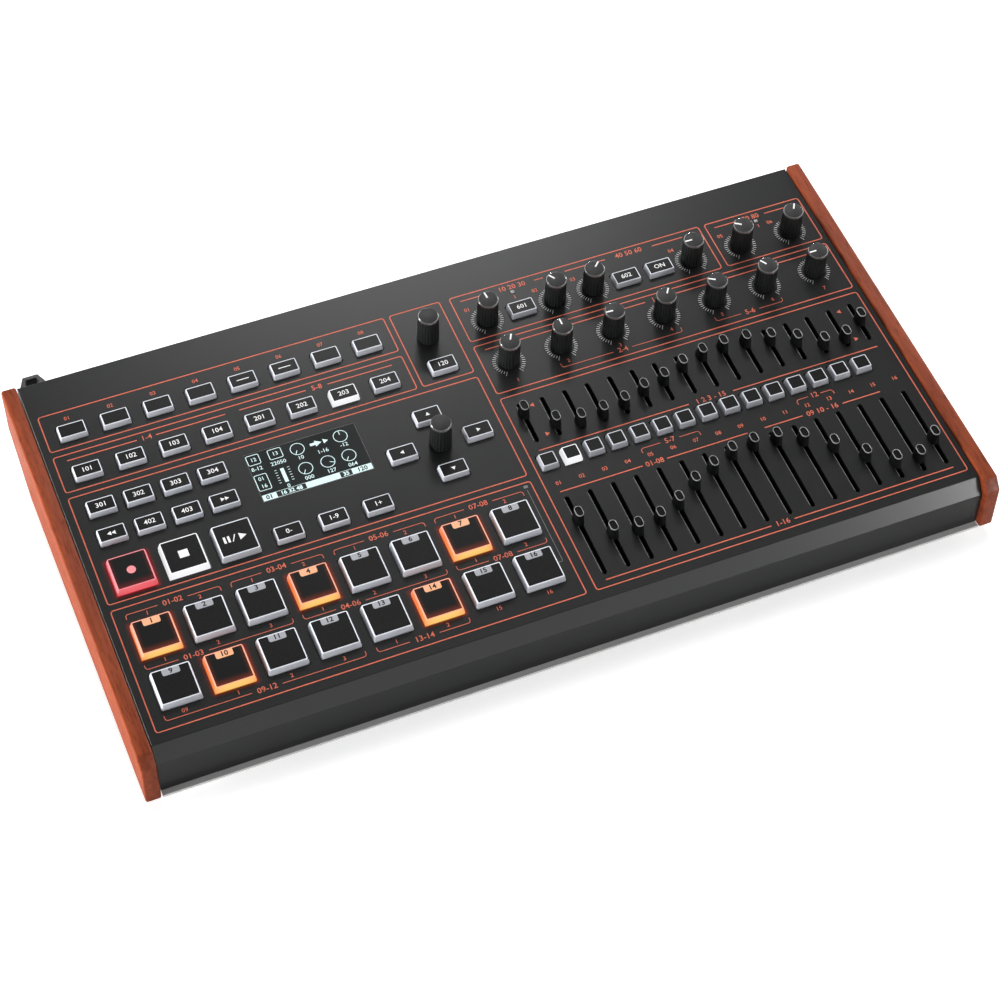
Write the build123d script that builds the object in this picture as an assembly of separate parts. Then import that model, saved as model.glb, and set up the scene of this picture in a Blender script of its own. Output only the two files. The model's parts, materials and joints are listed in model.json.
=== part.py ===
from build123d import *
from math import atan2, cos, degrees, pi, radians, sin, tan
import os

# A desktop drum machine: a folded steel shell with a gently sloping control panel, a pale base
# plate, two wooden cheeks, 16 channels of slide faders, rows of keys, pads, knobs and a display.
#
# Frame: millimetres, +X to the player's right, +Y to the back, +Z up. The origin is on the desk,
# under the middle of the object's footprint. Places on the control panel are given as (x, s):
# x from the middle, and s up the slope from the panel's front edge. They are given for the layout
# size below, and spread with the panel when it is made larger or smaller.

# ---------------------------------------------------------------- driving dimensions

# shell
PANEL_WIDTH = 430.0
PANEL_LENGTH = 221.6
LAYOUT_WIDTH = 430.0  # the panel size that the places are given for
LAYOUT_LENGTH = 221.6
PANEL_TILT = 3.79  # degrees
SHEET = 1.5  # steel of the shell
CHAMFER_RUN = 5.74  # sloping strip between panel and front face
CHAMFER_DROP = 8.05
FRONT_HEIGHT = 20.9  # vertical front face, from chamfer to base plate
FRONT_FLANGE = 9.0  # foot of the front face, folded inwards
CORNER_BREAK = 0.5
ROUND_SIDES = 8  # small round forms are many, so they are prisms with few sides

# base plate
BASE_SHEET = 1.5
BASE_LIP = 3.1  # stands out in front of the steel face
REAR_CUT_RUN = 34.5  # the base rises towards the back over this length
REAR_CUT_RISE = 19.2
FOOT_HEIGHT = 5.5
FOOT_RADIUS = 7.0
FOOT_INSET_X = 25.0
FOOT_INSET_FRONT = 20.0
FOOT_INSET_REAR = 20.0

# wooden cheeks
CHEEK_THICKNESS = 7.8
CHEEK_GAP = 0.55  # filled at three points by spacer pads
CHEEK_STAND = 1.8  # above the panel
CHEEK_NOSE_RUN = 4.95  # slanted front edge
CHEEK_NOSE_DROP = 6.0
CHEEK_REAR_INSET = 0.5
CHEEK_BEVEL = 0.6
SPACER_RADIUS = 6.0

# channels: one fader pair and one key per column
CHANNELS = 16
COLUMN_PITCH = 12.455
FIRST_COLUMN_X = 17.47
SLOT_WIDTH = 2.75
PAN_CENTRE_S = 110.5
PAN_TRAVEL = 20.0
PAN_END_GAP = 1.3  # from the stem to the slot's end
LEVEL_CENTRE_S = 37.3
LEVEL_TRAVEL = 45.0
LEVEL_END_GAP = 0.55
STEM_WIDTH = 1.2
STEM_LENGTH = 3.2
STEM_DEPTH = 3.0  # below the panel's inner face
CAP_HEIGHT = 8.3
CAP_FOOT = (5.4, 8.2)  # width, length
CAP_TAPER = 0.55  # each side comes in by this much

# where the faders stand, as a share of half the travel, + towards the back
PAN_SETTINGS = (0.55, -0.60, -0.90, -0.86, -0.68, -0.28, 0.0, 0.45,
                0.75, 0.88, 0.77, 0.42, -0.14, -0.78, -0.79, 0.0)
LEVEL_SETTINGS = (0.40, -0.20, -0.31, -0.23, 0.01, 0.36, 0.60, 0.82,
                  0.87, 0.82, 0.60, 0.19, -0.30, -0.69, -0.75, -0.39)

# knobs
KNOB_HEIGHT = 16.6
ENCODER_HEIGHT = 18.0
KNOB_FOOT_RADIUS = 5.75
KNOB_TAPER = 0.3
KNOB_RIBS = 16
CROWN_SIDES = 16
RIB_DEPTH = 0.35
CROWN_RADIUS = 5.1
CROWN_TAPER = 0.4
CROWN_HEIGHT = 1.2
SHAFT_RADIUS = 3.0
SHAFT_DEPTH = 3.5  # below the panel's inner face
UPPER_KNOB_S = 179.8
TUNING_KNOB_S = 150.2
WAVE_KNOB_X = (23.5, 61.5)
FILTER_KNOB_X = (83.0, 139.7)
VOLUME_KNOB_X = (168.6, 197.8)
TUNING_KNOBS = 7
TUNING_FIRST_X = 23.5
TUNING_PITCH = 29.03
TEMPO_KNOB = (-9.6, 179.3)
VALUE_KNOB = (-28.5, 113.6)

# keys: (width, depth) at the panel and at the top
KEY_FOOT = (14.8, 9.2)
KEY_TOP = (13.3, 7.6)
KEY_HEIGHT = 3.0
SELECT_FOOT = (9.75, 9.9)
SELECT_TOP = (8.0, 7.7)
PAD_FOOT = (20.5, 20.5)
PAD_TOP = (19.6, 19.6)
PAD_HEIGHT = 3.5
KEY_TRAVEL = 0.8
KEY_SKIRT = 1.5  # straight part of the key below the panel's inner face

FUNCTION_FIRST_X = -196.96
FUNCTION_PITCH = 22.31
FUNCTION_COLUMNS = 8
FUNCTION_ROWS_S = (185.1, 159.0)
SHORT_PITCH = 18.98
SHORT_COLUMNS = 4
SHORT_ROWS_S = (135.9, 118.0)
TAP_KEY = (-9.4, 159.0)
ARROW_STEP_X = 20.15
ARROW_STEP_S = 17.75
MENU_X = (-116.9, -93.8, -70.7)
MENU_S = 88.9
WAVE_KEY_X = (42.85, 102.1, 121.2)
TRANSPORT_KEYS = 3
TRANSPORT_S = 94.0
PAD_FIRST_X = -194.72
PAD_PITCH = 26.13
PAD_COLUMNS = 8
PAD_ROWS_S = (55.7, 26.1)
SELECT_KEYS = 15
SELECT_S = 84.35

# display and lamps
GLASS_CENTRE = (-93.35, 126.25)
GLASS_SIZE = (58.3, 30.7)
DISPLAY_MARGIN = 2.0  # the module's frame behind the panel
LAMP_SIDE = 2.3
LAMPS = ((42.85, 192.6), (183.8, 192.6))

# what is soldered to the board
CONTROL_DEPTH = 6.5  # pots, switches and display fill this height above the board
BOARD_THICKNESS = 1.6
BOARD_MARGIN_X = 5.0
BOARD_FRONT_GAP = 6.0  # from the panel's front edge
BOARD_REAR_GAP = 26.6  # from its rear edge, clear of the sockets
SLIDER_WIDTH = 9.0
SLIDER_END = 5.0  # housing beyond each end of the slot
POT_SIZE = (9.6, 11.0)
SWITCH_SIDE = 6.0

# rear connectors, all centred on one line
SOCKET_RISE = 0.4  # socket line above the middle of the rear wall
JACK_X = (132.0, 157.0, 182.0)
JACK_BORE_RADIUS = 3.25
JACK_BORE_DEPTH = 22.0
JACK_BODY = (14.0, 20.0, 13.5)
JACK_COLLAR_RADIUS = 5.5
JACK_COLLAR_REACH = 3.2
JACK_NUT_RADIUS = 7.5
JACK_NUT_THICKNESS = 1.8
MINI_JACKS = 8
MINI_FIRST_X = -48.0
MINI_PITCH = 20.0
MINI_BORE_RADIUS = 1.8
MINI_BORE_DEPTH = 14.0
MINI_BODY = (9.0, 14.0, 10.0)
MINI_COLLAR_RADIUS = 3.0
MINI_COLLAR_REACH = 1.8
DIN_X = (-127.0, -103.0, -79.0)
DIN_BODY = (18.0, 12.0, 17.0)
DIN_FACE_RADIUS = 7.6
DIN_RING = (5.5, 6.8)
DIN_RING_DEPTH = 8.0
USB_X = -150.0
USB_SHELL = (12.0, 16.0, 10.8)
USB_CAVITY = (8.6, 9.0, 7.8)
USB_TONGUE = (5.6, 8.0, 3.2)
INLET_X = -189.0
INLET_BODY = (9.0, 14.0, 11.0)
INLET_BORE_RADIUS = 3.2
INLET_PIN_RADIUS = 1.0
INLET_DEPTH = 9.5

# power rocker, lying on its side beside the inlet
ROCKER_X = -169.5
ROCKER_HALF_LENGTH = 8.4
ROCKER_HEIGHT = 8.6
ROCKER_WING = 2.6  # the tips stand out this far from the pivot line
ROCKER_THROW = 8.0  # degrees, each way
ROCKER_FRAME = (21.0, 13.0, 1.2)  # width, height, thickness of the bezel
ROCKER_BODY_DEPTH = 12.0
ROCKER_WELL_DEPTH = 6.0
ROCKER_PIN_RADIUS = 1.0
ROCKER_PIN_LENGTH = 0.8

# hook that holds the supply's cord
HOOK_INSET = 8.8  # its middle from the panel's left end
HOOK_FOOT = 16.6
HOOK_HEAD = 7.8
HOOK_REACH = 9.5
HOOK_STRAP = 2.0
HOOK_HEIGHT = 5.0
HOOK_DROP = 4.2  # top of the hook below the panel's rear edge

# clearances
RUNNING_GAP = 0.3
SEAT_GAP = 0.1
SHAFT_GAP = 0.3
PANEL_HOLE_GAP = 0.5

# ---------------------------------------------------------------- derived places

tilt = radians(PANEL_TILT)
slope_run = PANEL_LENGTH * cos(tilt)
slope_rise = PANEL_LENGTH * sin(tilt)
depth_overall = BASE_LIP + CHAMFER_RUN + slope_run + HOOK_REACH
cheek_front_y = -depth_overall / 2
front_face_y = cheek_front_y + BASE_LIP
edge_y = front_face_y + CHAMFER_RUN
rear_y = edge_y + slope_run
base_z = FOOT_HEIGHT
floor_z = base_z + BASE_SHEET
edge_z = floor_z + FRONT_HEIGHT + CHAMFER_DROP
rear_top_z = edge_z + slope_rise
rear_cut_y = rear_y - REAR_CUT_RUN
rear_foot_z = base_z + REAR_CUT_RISE
cut_angle = atan2(REAR_CUT_RISE, REAR_CUT_RUN)
rear_lip_z = rear_foot_z + BASE_SHEET / cos(cut_angle)
socket_z = (rear_lip_z + rear_top_z) / 2 + SOCKET_RISE
cheek_inner_x = PANEL_WIDTH / 2 + CHEEK_GAP

panel = Plane(origin=(0, edge_y, edge_z), x_dir=(1, 0, 0), z_dir=(0, -sin(tilt), cos(tilt)))
spread_x = PANEL_WIDTH / LAYOUT_WIDTH
spread_s = PANEL_LENGTH / LAYOUT_LENGTH
hook_x = HOOK_INSET - PANEL_WIDTH / 2
pan_slot = PAN_TRAVEL + STEM_LENGTH + 2 * PAN_END_GAP
level_slot = LEVEL_TRAVEL + STEM_LENGTH + 2 * LEVEL_END_GAP
pan_centre_s = PAN_CENTRE_S * spread_s
level_centre_s = LEVEL_CENTRE_S * spread_s
board_top = -SHEET - CONTROL_DEPTH
key_foot = -SHEET - KEY_SKIRT
switch_top = key_foot - KEY_TRAVEL - SEAT_GAP


def spread(places):
    """Places of the layout, on the panel as it is."""
    return [(x * spread_x, s * spread_s) for x, s in places]


def across(places):
    """The same for places along the width only."""
    return [x * spread_x for x in places]


def row(first_x, pitch, count):
    return [first_x + pitch * k for k in range(count)]


def grid(first_x, pitch, count, rows):
    return spread([(x, s) for s in rows for x in row(first_x, pitch, count)])


columns = across(row(FIRST_COLUMN_X, COLUMN_PITCH, CHANNELS))
value_x, value_s = VALUE_KNOB
arrow_keys = spread([
    (value_x, value_s + ARROW_STEP_S),
    (value_x - ARROW_STEP_X, value_s),
    (value_x + ARROW_STEP_X, value_s),
    (value_x, value_s - ARROW_STEP_S),
])
small_key_places = (
    grid(FUNCTION_FIRST_X, FUNCTION_PITCH, FUNCTION_COLUMNS, FUNCTION_ROWS_S)
    + grid(FUNCTION_FIRST_X, SHORT_PITCH, SHORT_COLUMNS, SHORT_ROWS_S)
    + spread([TAP_KEY])
    + arrow_keys
    + spread([(x, MENU_S) for x in MENU_X])
    + spread([(x, UPPER_KNOB_S) for x in WAVE_KEY_X])
)
transport_places = grid(PAD_FIRST_X, PAD_PITCH, TRANSPORT_KEYS, [TRANSPORT_S])
pad_places = grid(PAD_FIRST_X, PAD_PITCH, PAD_COLUMNS, PAD_ROWS_S)
select_places = grid(FIRST_COLUMN_X, COLUMN_PITCH, SELECT_KEYS, [SELECT_S])

knob_places = {}
for name, s, places in (
    ("wave", UPPER_KNOB_S, WAVE_KNOB_X),
    ("filter", UPPER_KNOB_S, FILTER_KNOB_X),
    ("volume", UPPER_KNOB_S, VOLUME_KNOB_X),
    ("tuning", TUNING_KNOB_S, row(TUNING_FIRST_X, TUNING_PITCH, TUNING_KNOBS)),
):
    for k, place in enumerate(spread([(x, s) for x in places]), start=1):
        knob_places[f"{name}_knob_{k}"] = place
encoder_places = dict(zip(("tempo_knob", "value_knob"), spread([TEMPO_KNOB, VALUE_KNOB])))

fader_places = {}
for k, x in enumerate(columns):
    pan_s = pan_centre_s + PAN_SETTINGS[k] * PAN_TRAVEL / 2
    level_s = level_centre_s + LEVEL_SETTINGS[k] * LEVEL_TRAVEL / 2
    fader_places[f"pan_fader_{k + 1:02}"] = (x, pan_s)
    fader_places[f"volume_fader_{k + 1:02}"] = (x, level_s)

glass_centre = spread([GLASS_CENTRE])[0]
lamp_places = spread(LAMPS)
jack_columns = across(JACK_X)
mini_columns = across(row(MINI_FIRST_X, MINI_PITCH, MINI_JACKS))
din_columns = across(DIN_X)
usb_x, rocker_x, inlet_x = across((USB_X, ROCKER_X, INLET_X))


# ---------------------------------------------------------------- helpers

def on_panel(shape):
    """Puts a shape that was made in panel coordinates (x, s, height) in its place."""
    return panel.location * shape


def block(width, length, low, high):
    """An upright box about the origin, from one height to another."""
    return extrude(Plane.XY.offset(low) * Rectangle(width, length), high - low)


def round_bar(radius, low, high, sides=ROUND_SIDES):
    """An upright prism with enough sides to pass for a round bar."""
    return extrude(Plane.XY.offset(low) * RegularPolygon(radius, sides), high - low)


def slot_outline(length, width):
    """A slot along Y with rounded ends, drawn with half of ROUND_SIDES chords each."""
    reach = (length - width) / 2
    angles = [2 * pi * k / ROUND_SIDES for k in range(ROUND_SIDES // 2 + 1)]
    arc = [(width / 2 * cos(angle), reach + width / 2 * sin(angle)) for angle in angles]
    return make_face(Polyline(*arc, *[(-x, -y) for x, y in arc], close=True))


def side_profile(points, width):
    """Extrudes an outline of (y, z) points to both sides of the middle plane."""
    outline = Plane.YZ * make_face(Polyline(*points, close=True))
    return extrude(outline, width / 2, both=True)


def rear_bar(x, radius, start, end, sides=ROUND_SIDES):
    """A bar along +Y on the socket line, from start to end behind the rear wall's face."""
    return Pos(x, rear_y, socket_z) * Rot(-90, 0, 0) * round_bar(radius, start, end, sides)


def rear_bore(x, radius, start, end):
    """A true round hole on the socket line, for a plug."""
    base = (Align.CENTER, Align.CENTER, Align.MIN)
    bore = Cylinder(radius, end - start, align=base)
    return Pos(x, rear_y + start, socket_z) * Rot(-90, 0, 0) * bore


def rear_block(x, size, end):
    """A box on the socket line that ends at this distance behind the rear wall's face."""
    width, depth, height = size
    return Pos(x, rear_y + end - depth / 2, socket_z) * Box(width, depth, height)


def write(name, shape):
    shape.label = name
    export_step(shape, f"parts/{name}.step")


# ---------------------------------------------------------------- shell

def shell_outline(drop):
    """The shell's side outline. Its open underside can be lowered to cut through it."""
    return [
        (front_face_y, floor_z - drop),
        (front_face_y, edge_z - CHAMFER_DROP),
        (edge_y, edge_z),
        (rear_y, rear_top_z),
        (rear_y, rear_lip_z - drop),
        (rear_cut_y - BASE_SHEET * tan(cut_angle / 2), floor_z - drop),
    ]


def window(foot, place):
    """A cutter for the opening that a key's foot slides in."""
    width = foot[0] + 2 * RUNNING_GAP
    length = foot[1] + 2 * RUNNING_GAP
    return Pos(*place) * block(width, length, -2 * SHEET, SHEET)


def fader_slot(x, centre_s, length):
    slot = Pos(x, centre_s, -2 * SHEET) * slot_outline(length, SLOT_WIDTH)
    return extrude(slot, 3 * SHEET)


def panel_cutters():
    cutters = [window(KEY_FOOT, place) for place in small_key_places]
    cutters += [window(PAD_FOOT, place) for place in pad_places + transport_places]
    cutters += [window(SELECT_FOOT, place) for place in select_places]
    cutters += [fader_slot(x, pan_centre_s, pan_slot) for x in columns]
    cutters += [fader_slot(x, level_centre_s, level_slot) for x in columns]
    for place in [*knob_places.values(), *encoder_places.values()]:
        cutters.append(Pos(*place) * round_bar(SHAFT_RADIUS + PANEL_HOLE_GAP, -2 * SHEET, SHEET))
    glass_width, glass_length = GLASS_SIZE
    glass_room = (glass_width + 2 * SEAT_GAP, glass_length + 2 * SEAT_GAP)
    cutters.append(Pos(*glass_centre) * block(*glass_room, -2 * SHEET, SHEET))
    lamp_room = LAMP_SIDE + 2 * SEAT_GAP
    cutters += [Pos(*place) * block(lamp_room, lamp_room, -2 * SHEET, SHEET) for place in lamp_places]
    return [on_panel(cutter) for cutter in cutters]


def rear_cutters():
    wall = 2 * SHEET
    cutters = [rear_bar(x, JACK_COLLAR_RADIUS + SEAT_GAP, -wall, wall) for x in jack_columns]
    cutters += [rear_bar(x, MINI_COLLAR_RADIUS + SEAT_GAP, -wall, wall) for x in mini_columns]
    cutters += [rear_bar(x, DIN_FACE_RADIUS + SEAT_GAP, -wall, wall) for x in din_columns]
    for x, (width, _, height) in ((usb_x, USB_SHELL), (inlet_x, INLET_BODY)):
        cutters.append(rear_block(x, (width + 2 * SEAT_GAP, 2 * wall, height + 2 * SEAT_GAP), wall))
    frame_width, frame_height, _ = ROCKER_FRAME
    rocker_room = (frame_width - 2 * SHEET, 2 * wall, frame_height - SHEET)
    cutters.append(rear_block(rocker_x, rocker_room, wall))
    return cutters


def spacer_places():
    """Three points (y, z) where each cheek is screwed to the shell's end wall."""
    low_z = floor_z + 2 * SPACER_RADIUS
    return [
        (front_face_y + 3 * SPACER_RADIUS, low_z),
        (edge_y + slope_run / 2, low_z),
        (rear_y - 3 * SPACER_RADIUS, socket_z),
    ]


def top_panel():
    skin = side_profile(shell_outline(0), PANEL_WIDTH)
    front_edges = skin.edges().filter_by(Axis.X).sort_by(Axis.Z)[-3:]
    skin = fillet(front_edges, CORNER_BREAK)
    room_outline = make_face(Polyline(*shell_outline(CHAMFER_DROP), close=True))
    room_outline = offset(room_outline, -SHEET, kind=Kind.INTERSECTION)
    skin -= extrude(Plane.YZ * room_outline, PANEL_WIDTH / 2 - SHEET, both=True)
    flange = Pos(0, front_face_y + SHEET + FRONT_FLANGE / 2, floor_z + SHEET / 2) * Box(
        PANEL_WIDTH - 2 * SHEET, FRONT_FLANGE, SHEET
    )
    skin += flange
    for side in (-1, 1):
        for y, z in spacer_places():
            spacer = round_bar(SPACER_RADIUS, PANEL_WIDTH / 2 - SHEET, cheek_inner_x)
            skin += Pos(0, y, z) * Rot(0, side * 90, 0) * spacer
    return skin - (panel_cutters() + rear_cutters())


def bottom_pan():
    """Pale plate: a lip under the front face, a flat floor and a rising rear part."""
    inner_bend_y = rear_cut_y - BASE_SHEET * tan(cut_angle / 2)
    outline = [
        (cheek_front_y, base_z),
        (rear_cut_y, base_z),
        (rear_y, rear_foot_z),
        (rear_y, rear_lip_z),
        (inner_bend_y, floor_z),
        (cheek_front_y, floor_z),
    ]
    return side_profile(outline, PANEL_WIDTH)


def cheek(side):
    """Wooden end piece. Its top runs parallel to the panel, and its front edge is slanted."""
    stand_z = CHEEK_STAND / cos(tilt)
    nose_y = cheek_front_y + CHEEK_NOSE_RUN
    nose_z = edge_z + stand_z + (nose_y - edge_y) * tan(tilt)
    back_y = rear_y - CHEEK_REAR_INSET
    outline = [
        (cheek_front_y, base_z),
        (cheek_front_y, nose_z - CHEEK_NOSE_DROP),
        (nose_y, nose_z),
        (back_y, edge_z + stand_z + (back_y - edge_y) * tan(tilt)),
        (back_y, rear_foot_z - CHEEK_REAR_INSET * tan(cut_angle)),
        (rear_cut_y, base_z),
    ]
    centre_x = side * (cheek_inner_x + CHEEK_THICKNESS / 2)
    board = side_profile(outline, CHEEK_THICKNESS)
    faces = board.faces().filter_by(Axis.X)
    board = chamfer(faces.edges(), CHEEK_BEVEL)
    return Pos(centre_x, 0, 0) * board


def rubber_feet():
    foot = round_bar(FOOT_RADIUS, 0, FOOT_HEIGHT, CROWN_SIDES)
    foot = chamfer(foot.faces().sort_by(Axis.Z)[0].edges(), CORNER_BREAK)
    feet = Part()
    for x in (FOOT_INSET_X - PANEL_WIDTH / 2, PANEL_WIDTH / 2 - FOOT_INSET_X):
        for y in (cheek_front_y + FOOT_INSET_FRONT, rear_cut_y - FOOT_INSET_REAR):
            feet += Pos(x, y, 0) * foot
    return feet


# ---------------------------------------------------------------- electronics inside

def slider_housing(x, centre_s, slot_length):
    """Slide potentiometer: a long can with a groove that the fader's stem runs in."""
    length = slot_length + 2 * SLIDER_END
    can = block(SLIDER_WIDTH, length, board_top, -SHEET)
    groove_foot = -SHEET - STEM_DEPTH - RUNNING_GAP
    can -= block(STEM_WIDTH + 4 * RUNNING_GAP, slot_length, groove_foot, 0)
    return Pos(x, centre_s) * can


def pot_housing(place):
    """Rotary potentiometer or encoder, with a bush for the shaft."""
    can = block(*POT_SIZE, board_top, -SHEET)
    bush_depth = SHAFT_DEPTH + RUNNING_GAP
    bush = round_bar(SHAFT_RADIUS + SHAFT_GAP, -SHEET - bush_depth, 0)
    return Pos(*place) * (can - bush)


def switch(place):
    """Tact switch under a key."""
    return Pos(*place) * block(SWITCH_SIDE, SWITCH_SIDE, board_top, switch_top)


def circuit_board():
    """The control board with all that is soldered to it, parallel to the panel."""
    width = PANEL_WIDTH - 2 * SHEET - 2 * BOARD_MARGIN_X
    rear_s = PANEL_LENGTH - BOARD_REAR_GAP
    board = block(width, rear_s - BOARD_FRONT_GAP, board_top - BOARD_THICKNESS, board_top)
    solids = [Pos(0, (BOARD_FRONT_GAP + rear_s) / 2) * board]
    solids += [slider_housing(x, pan_centre_s, pan_slot) for x in columns]
    solids += [slider_housing(x, level_centre_s, level_slot) for x in columns]
    solids += [pot_housing(place) for place in [*knob_places.values(), *encoder_places.values()]]
    key_places = small_key_places + transport_places + pad_places + select_places
    solids += [switch(place) for place in key_places]
    return Compound(children=[on_panel(solid) for solid in solids])


def display_module():
    """Glass flush with the panel on a framed module, and two square lamps on the board."""
    glass_width, glass_length = GLASS_SIZE
    frame_size = (glass_width + 2 * DISPLAY_MARGIN, glass_length + 2 * DISPLAY_MARGIN)
    module = block(*GLASS_SIZE, -SHEET, 0) + block(*frame_size, board_top, -SHEET)
    lamp = block(LAMP_SIDE, LAMP_SIDE, board_top, 0)
    solids = [Pos(*glass_centre) * module] + [Pos(*place) * lamp for place in lamp_places]
    return Compound(children=[on_panel(solid) for solid in solids])


# ---------------------------------------------------------------- rear connectors

def jack(x):
    """Large phone jack: body inside the wall, collar and nut outside."""
    body = rear_block(x, JACK_BODY, -SHEET)
    body += rear_bar(x, JACK_COLLAR_RADIUS, -SHEET, JACK_COLLAR_REACH)
    body += rear_bar(x, JACK_NUT_RADIUS, 0, JACK_NUT_THICKNESS, sides=6)
    return body - rear_bore(x, JACK_BORE_RADIUS, JACK_COLLAR_REACH - JACK_BORE_DEPTH, JACK_COLLAR_REACH)


def mini_jack(x):
    body = rear_block(x, MINI_BODY, -SHEET)
    body += rear_bar(x, MINI_COLLAR_RADIUS, -SHEET, MINI_COLLAR_REACH)
    return body - rear_bar(x, MINI_BORE_RADIUS, MINI_COLLAR_REACH - MINI_BORE_DEPTH, MINI_COLLAR_REACH)


def din_socket(x):
    """Five-pin socket: its round face fills the hole, with a ring gap for the plug's shield."""
    body = rear_block(x, DIN_BODY, -SHEET) + rear_bar(x, DIN_FACE_RADIUS, -SHEET, 0)
    inner, outer = DIN_RING
    ring = rear_bar(x, outer, -DIN_RING_DEPTH, 0) - rear_bar(x, inner, -DIN_RING_DEPTH, 0)
    return body - ring


def usb_socket():
    shell = rear_block(usb_x, USB_SHELL, 0) - rear_block(usb_x, USB_CAVITY, 0)
    tongue_end = USB_TONGUE[1] - USB_CAVITY[1]
    return shell + rear_block(usb_x, USB_TONGUE, tongue_end)


def supply_inlet():
    body = rear_block(inlet_x, INLET_BODY, 0)
    body -= rear_bar(inlet_x, INLET_BORE_RADIUS, -INLET_DEPTH, 0)
    return body + rear_bar(inlet_x, INLET_PIN_RADIUS, -INLET_DEPTH, -RUNNING_GAP)


def rocker_housing():
    """Bezel on the rear wall and a well behind it that holds the rocker's two pins."""
    width, height, thickness = ROCKER_FRAME
    body_size = (width - 2 * SHEET - 2 * SEAT_GAP, ROCKER_BODY_DEPTH, height - SHEET - 2 * SEAT_GAP)
    body = rear_block(rocker_x, (width, thickness, height), thickness)
    body += rear_block(rocker_x, body_size, 0)
    reach = (ROCKER_HALF_LENGTH**2 + ROCKER_WING**2) ** 0.5 + RUNNING_GAP
    well = (2 * reach, ROCKER_WELL_DEPTH + thickness, ROCKER_HEIGHT + 2 * RUNNING_GAP)
    body -= rear_block(rocker_x, well, thickness)
    pin_length = ROCKER_HEIGHT + 2 * ROCKER_PIN_LENGTH
    pin_hole = round_bar(ROCKER_PIN_RADIUS + SHAFT_GAP, -pin_length / 2, pin_length / 2)
    return body - Pos(rocker_x, rear_y, socket_z) * pin_hole


def power_switch():
    """Rocker on an upright pin, at rest with its left wing pressed in."""
    tip, wing = ROCKER_HALF_LENGTH, ROCKER_WING
    outline = [(-tip, wing), (0, wing / 2), (tip, wing), (tip, -wing / 2), (0, -wing), (-tip, -wing / 2)]
    wedge = extrude(make_face(Polyline(*outline, close=True)), ROCKER_HEIGHT / 2, both=True)
    pin_length = ROCKER_HEIGHT + 2 * (ROCKER_PIN_LENGTH - SHAFT_GAP)
    rocker = wedge + round_bar(ROCKER_PIN_RADIUS, -pin_length / 2, pin_length / 2)
    return Pos(rocker_x, rear_y, socket_z) * Rot(0, 0, ROCKER_THROW) * rocker


def rear_sockets():
    solids = [jack(x) for x in jack_columns]
    solids += [mini_jack(x) for x in mini_columns]
    solids += [din_socket(x) for x in din_columns]
    solids += [usb_socket(), supply_inlet(), rocker_housing()]
    return Compound(children=solids)


def cable_hook():
    """A bent strap on the rear wall. The supply's cord is threaded down through it."""
    foot, head, reach = HOOK_FOOT / 2, HOOK_HEAD / 2, HOOK_REACH
    outer = make_face(Polyline((-foot, 0), (-head, reach), (head, reach), (foot, 0), close=True))
    slant = atan2(reach, foot - head)
    wall_x = HOOK_STRAP / sin(slant)
    inner_reach = reach - HOOK_STRAP
    inner_head = foot - wall_x - inner_reach / tan(slant)
    inner = make_face(
        Polyline((wall_x - foot, 0), (-inner_head, inner_reach), (inner_head, inner_reach),
                 (foot - wall_x, 0), close=True)
    )
    strap = extrude(outer - inner, HOOK_HEIGHT)
    return Pos(hook_x, rear_y, rear_top_z - HOOK_DROP - HOOK_HEIGHT) * strap


# ---------------------------------------------------------------- moving controls

def key_profile(plane, foot, top, height, depth):
    """Side view of a key, straight in its window and tapered above it, extruded both ways."""
    foot, top = foot / 2, top / 2
    outline = Polyline((-foot, key_foot), (foot, key_foot), (foot, 0), (top, height), (-top, height),
                       (-foot, 0), close=True)
    return extrude(plane * make_face(outline), depth, both=True)


def key(place, foot, top, height):
    """A key that slides in its window: what its front view and its side view have in common."""
    front_view = key_profile(Plane.XZ, foot[0], top[0], height, foot[1])
    side_view = key_profile(Plane.YZ, foot[1], top[1], height, foot[0])
    return on_panel(Pos(*place) * (front_view & side_view))


def key_group(places, foot, top, height):
    return [key(place, foot, top, height) for place in places]


def drafted(outline, low, high, inset):
    """Extrudes an outline upwards with draft, so that its sides come in by the inset."""
    prism = extrude(Pos(0, 0, low) * outline, high - low)
    sides = prism.faces().sort_by(Axis.Z)[1:-1]
    return draft(sides, Plane.XY.offset(low), degrees(atan2(inset, high - low)))


def rib_ring():
    """A star outline whose points are the ribs of a knob."""
    count = 2 * KNOB_RIBS
    radii = [KNOB_FOOT_RADIUS - RIB_DEPTH * (k % 2) for k in range(count)]
    points = [(r * cos(2 * pi * k / count), r * sin(2 * pi * k / count)) for k, r in enumerate(radii)]
    return make_face(Polyline(*points, close=True))


def knob(place, height):
    """Ribbed, tapered knob with a smooth slanted crown, on its shaft."""
    crown_foot = height - CROWN_HEIGHT
    skirt = drafted(rib_ring(), PANEL_HOLE_GAP, crown_foot, KNOB_TAPER)
    crown = drafted(RegularPolygon(CROWN_RADIUS, CROWN_SIDES), crown_foot, height, CROWN_TAPER)
    shaft = round_bar(SHAFT_RADIUS, -SHEET - SHAFT_DEPTH, PANEL_HOLE_GAP)
    return on_panel(Pos(*place) * (skirt + crown + shaft))


def fader(place):
    """Oblong tapered cap on a flat stem that reaches into the slide pot."""
    width, length = CAP_FOOT
    cap = drafted(slot_outline(length, width), PANEL_HOLE_GAP, CAP_HEIGHT, CAP_TAPER)
    stem = block(STEM_WIDTH, STEM_LENGTH, -SHEET - STEM_DEPTH, PANEL_HOLE_GAP)
    return on_panel(Pos(*place) * (cap + stem))


# ---------------------------------------------------------------- write one file per sub-part

os.makedirs("parts", exist_ok=True)
write("top_panel", top_panel())
write("bottom_pan", bottom_pan())
write("left_cheek", cheek(-1))
write("right_cheek", cheek(1))
write("rubber_feet", rubber_feet())
write("circuit_board", circuit_board())
write("display_module", display_module())
write("rear_sockets", rear_sockets())
write("cable_hook", cable_hook())
write("power_switch", power_switch())

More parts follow.
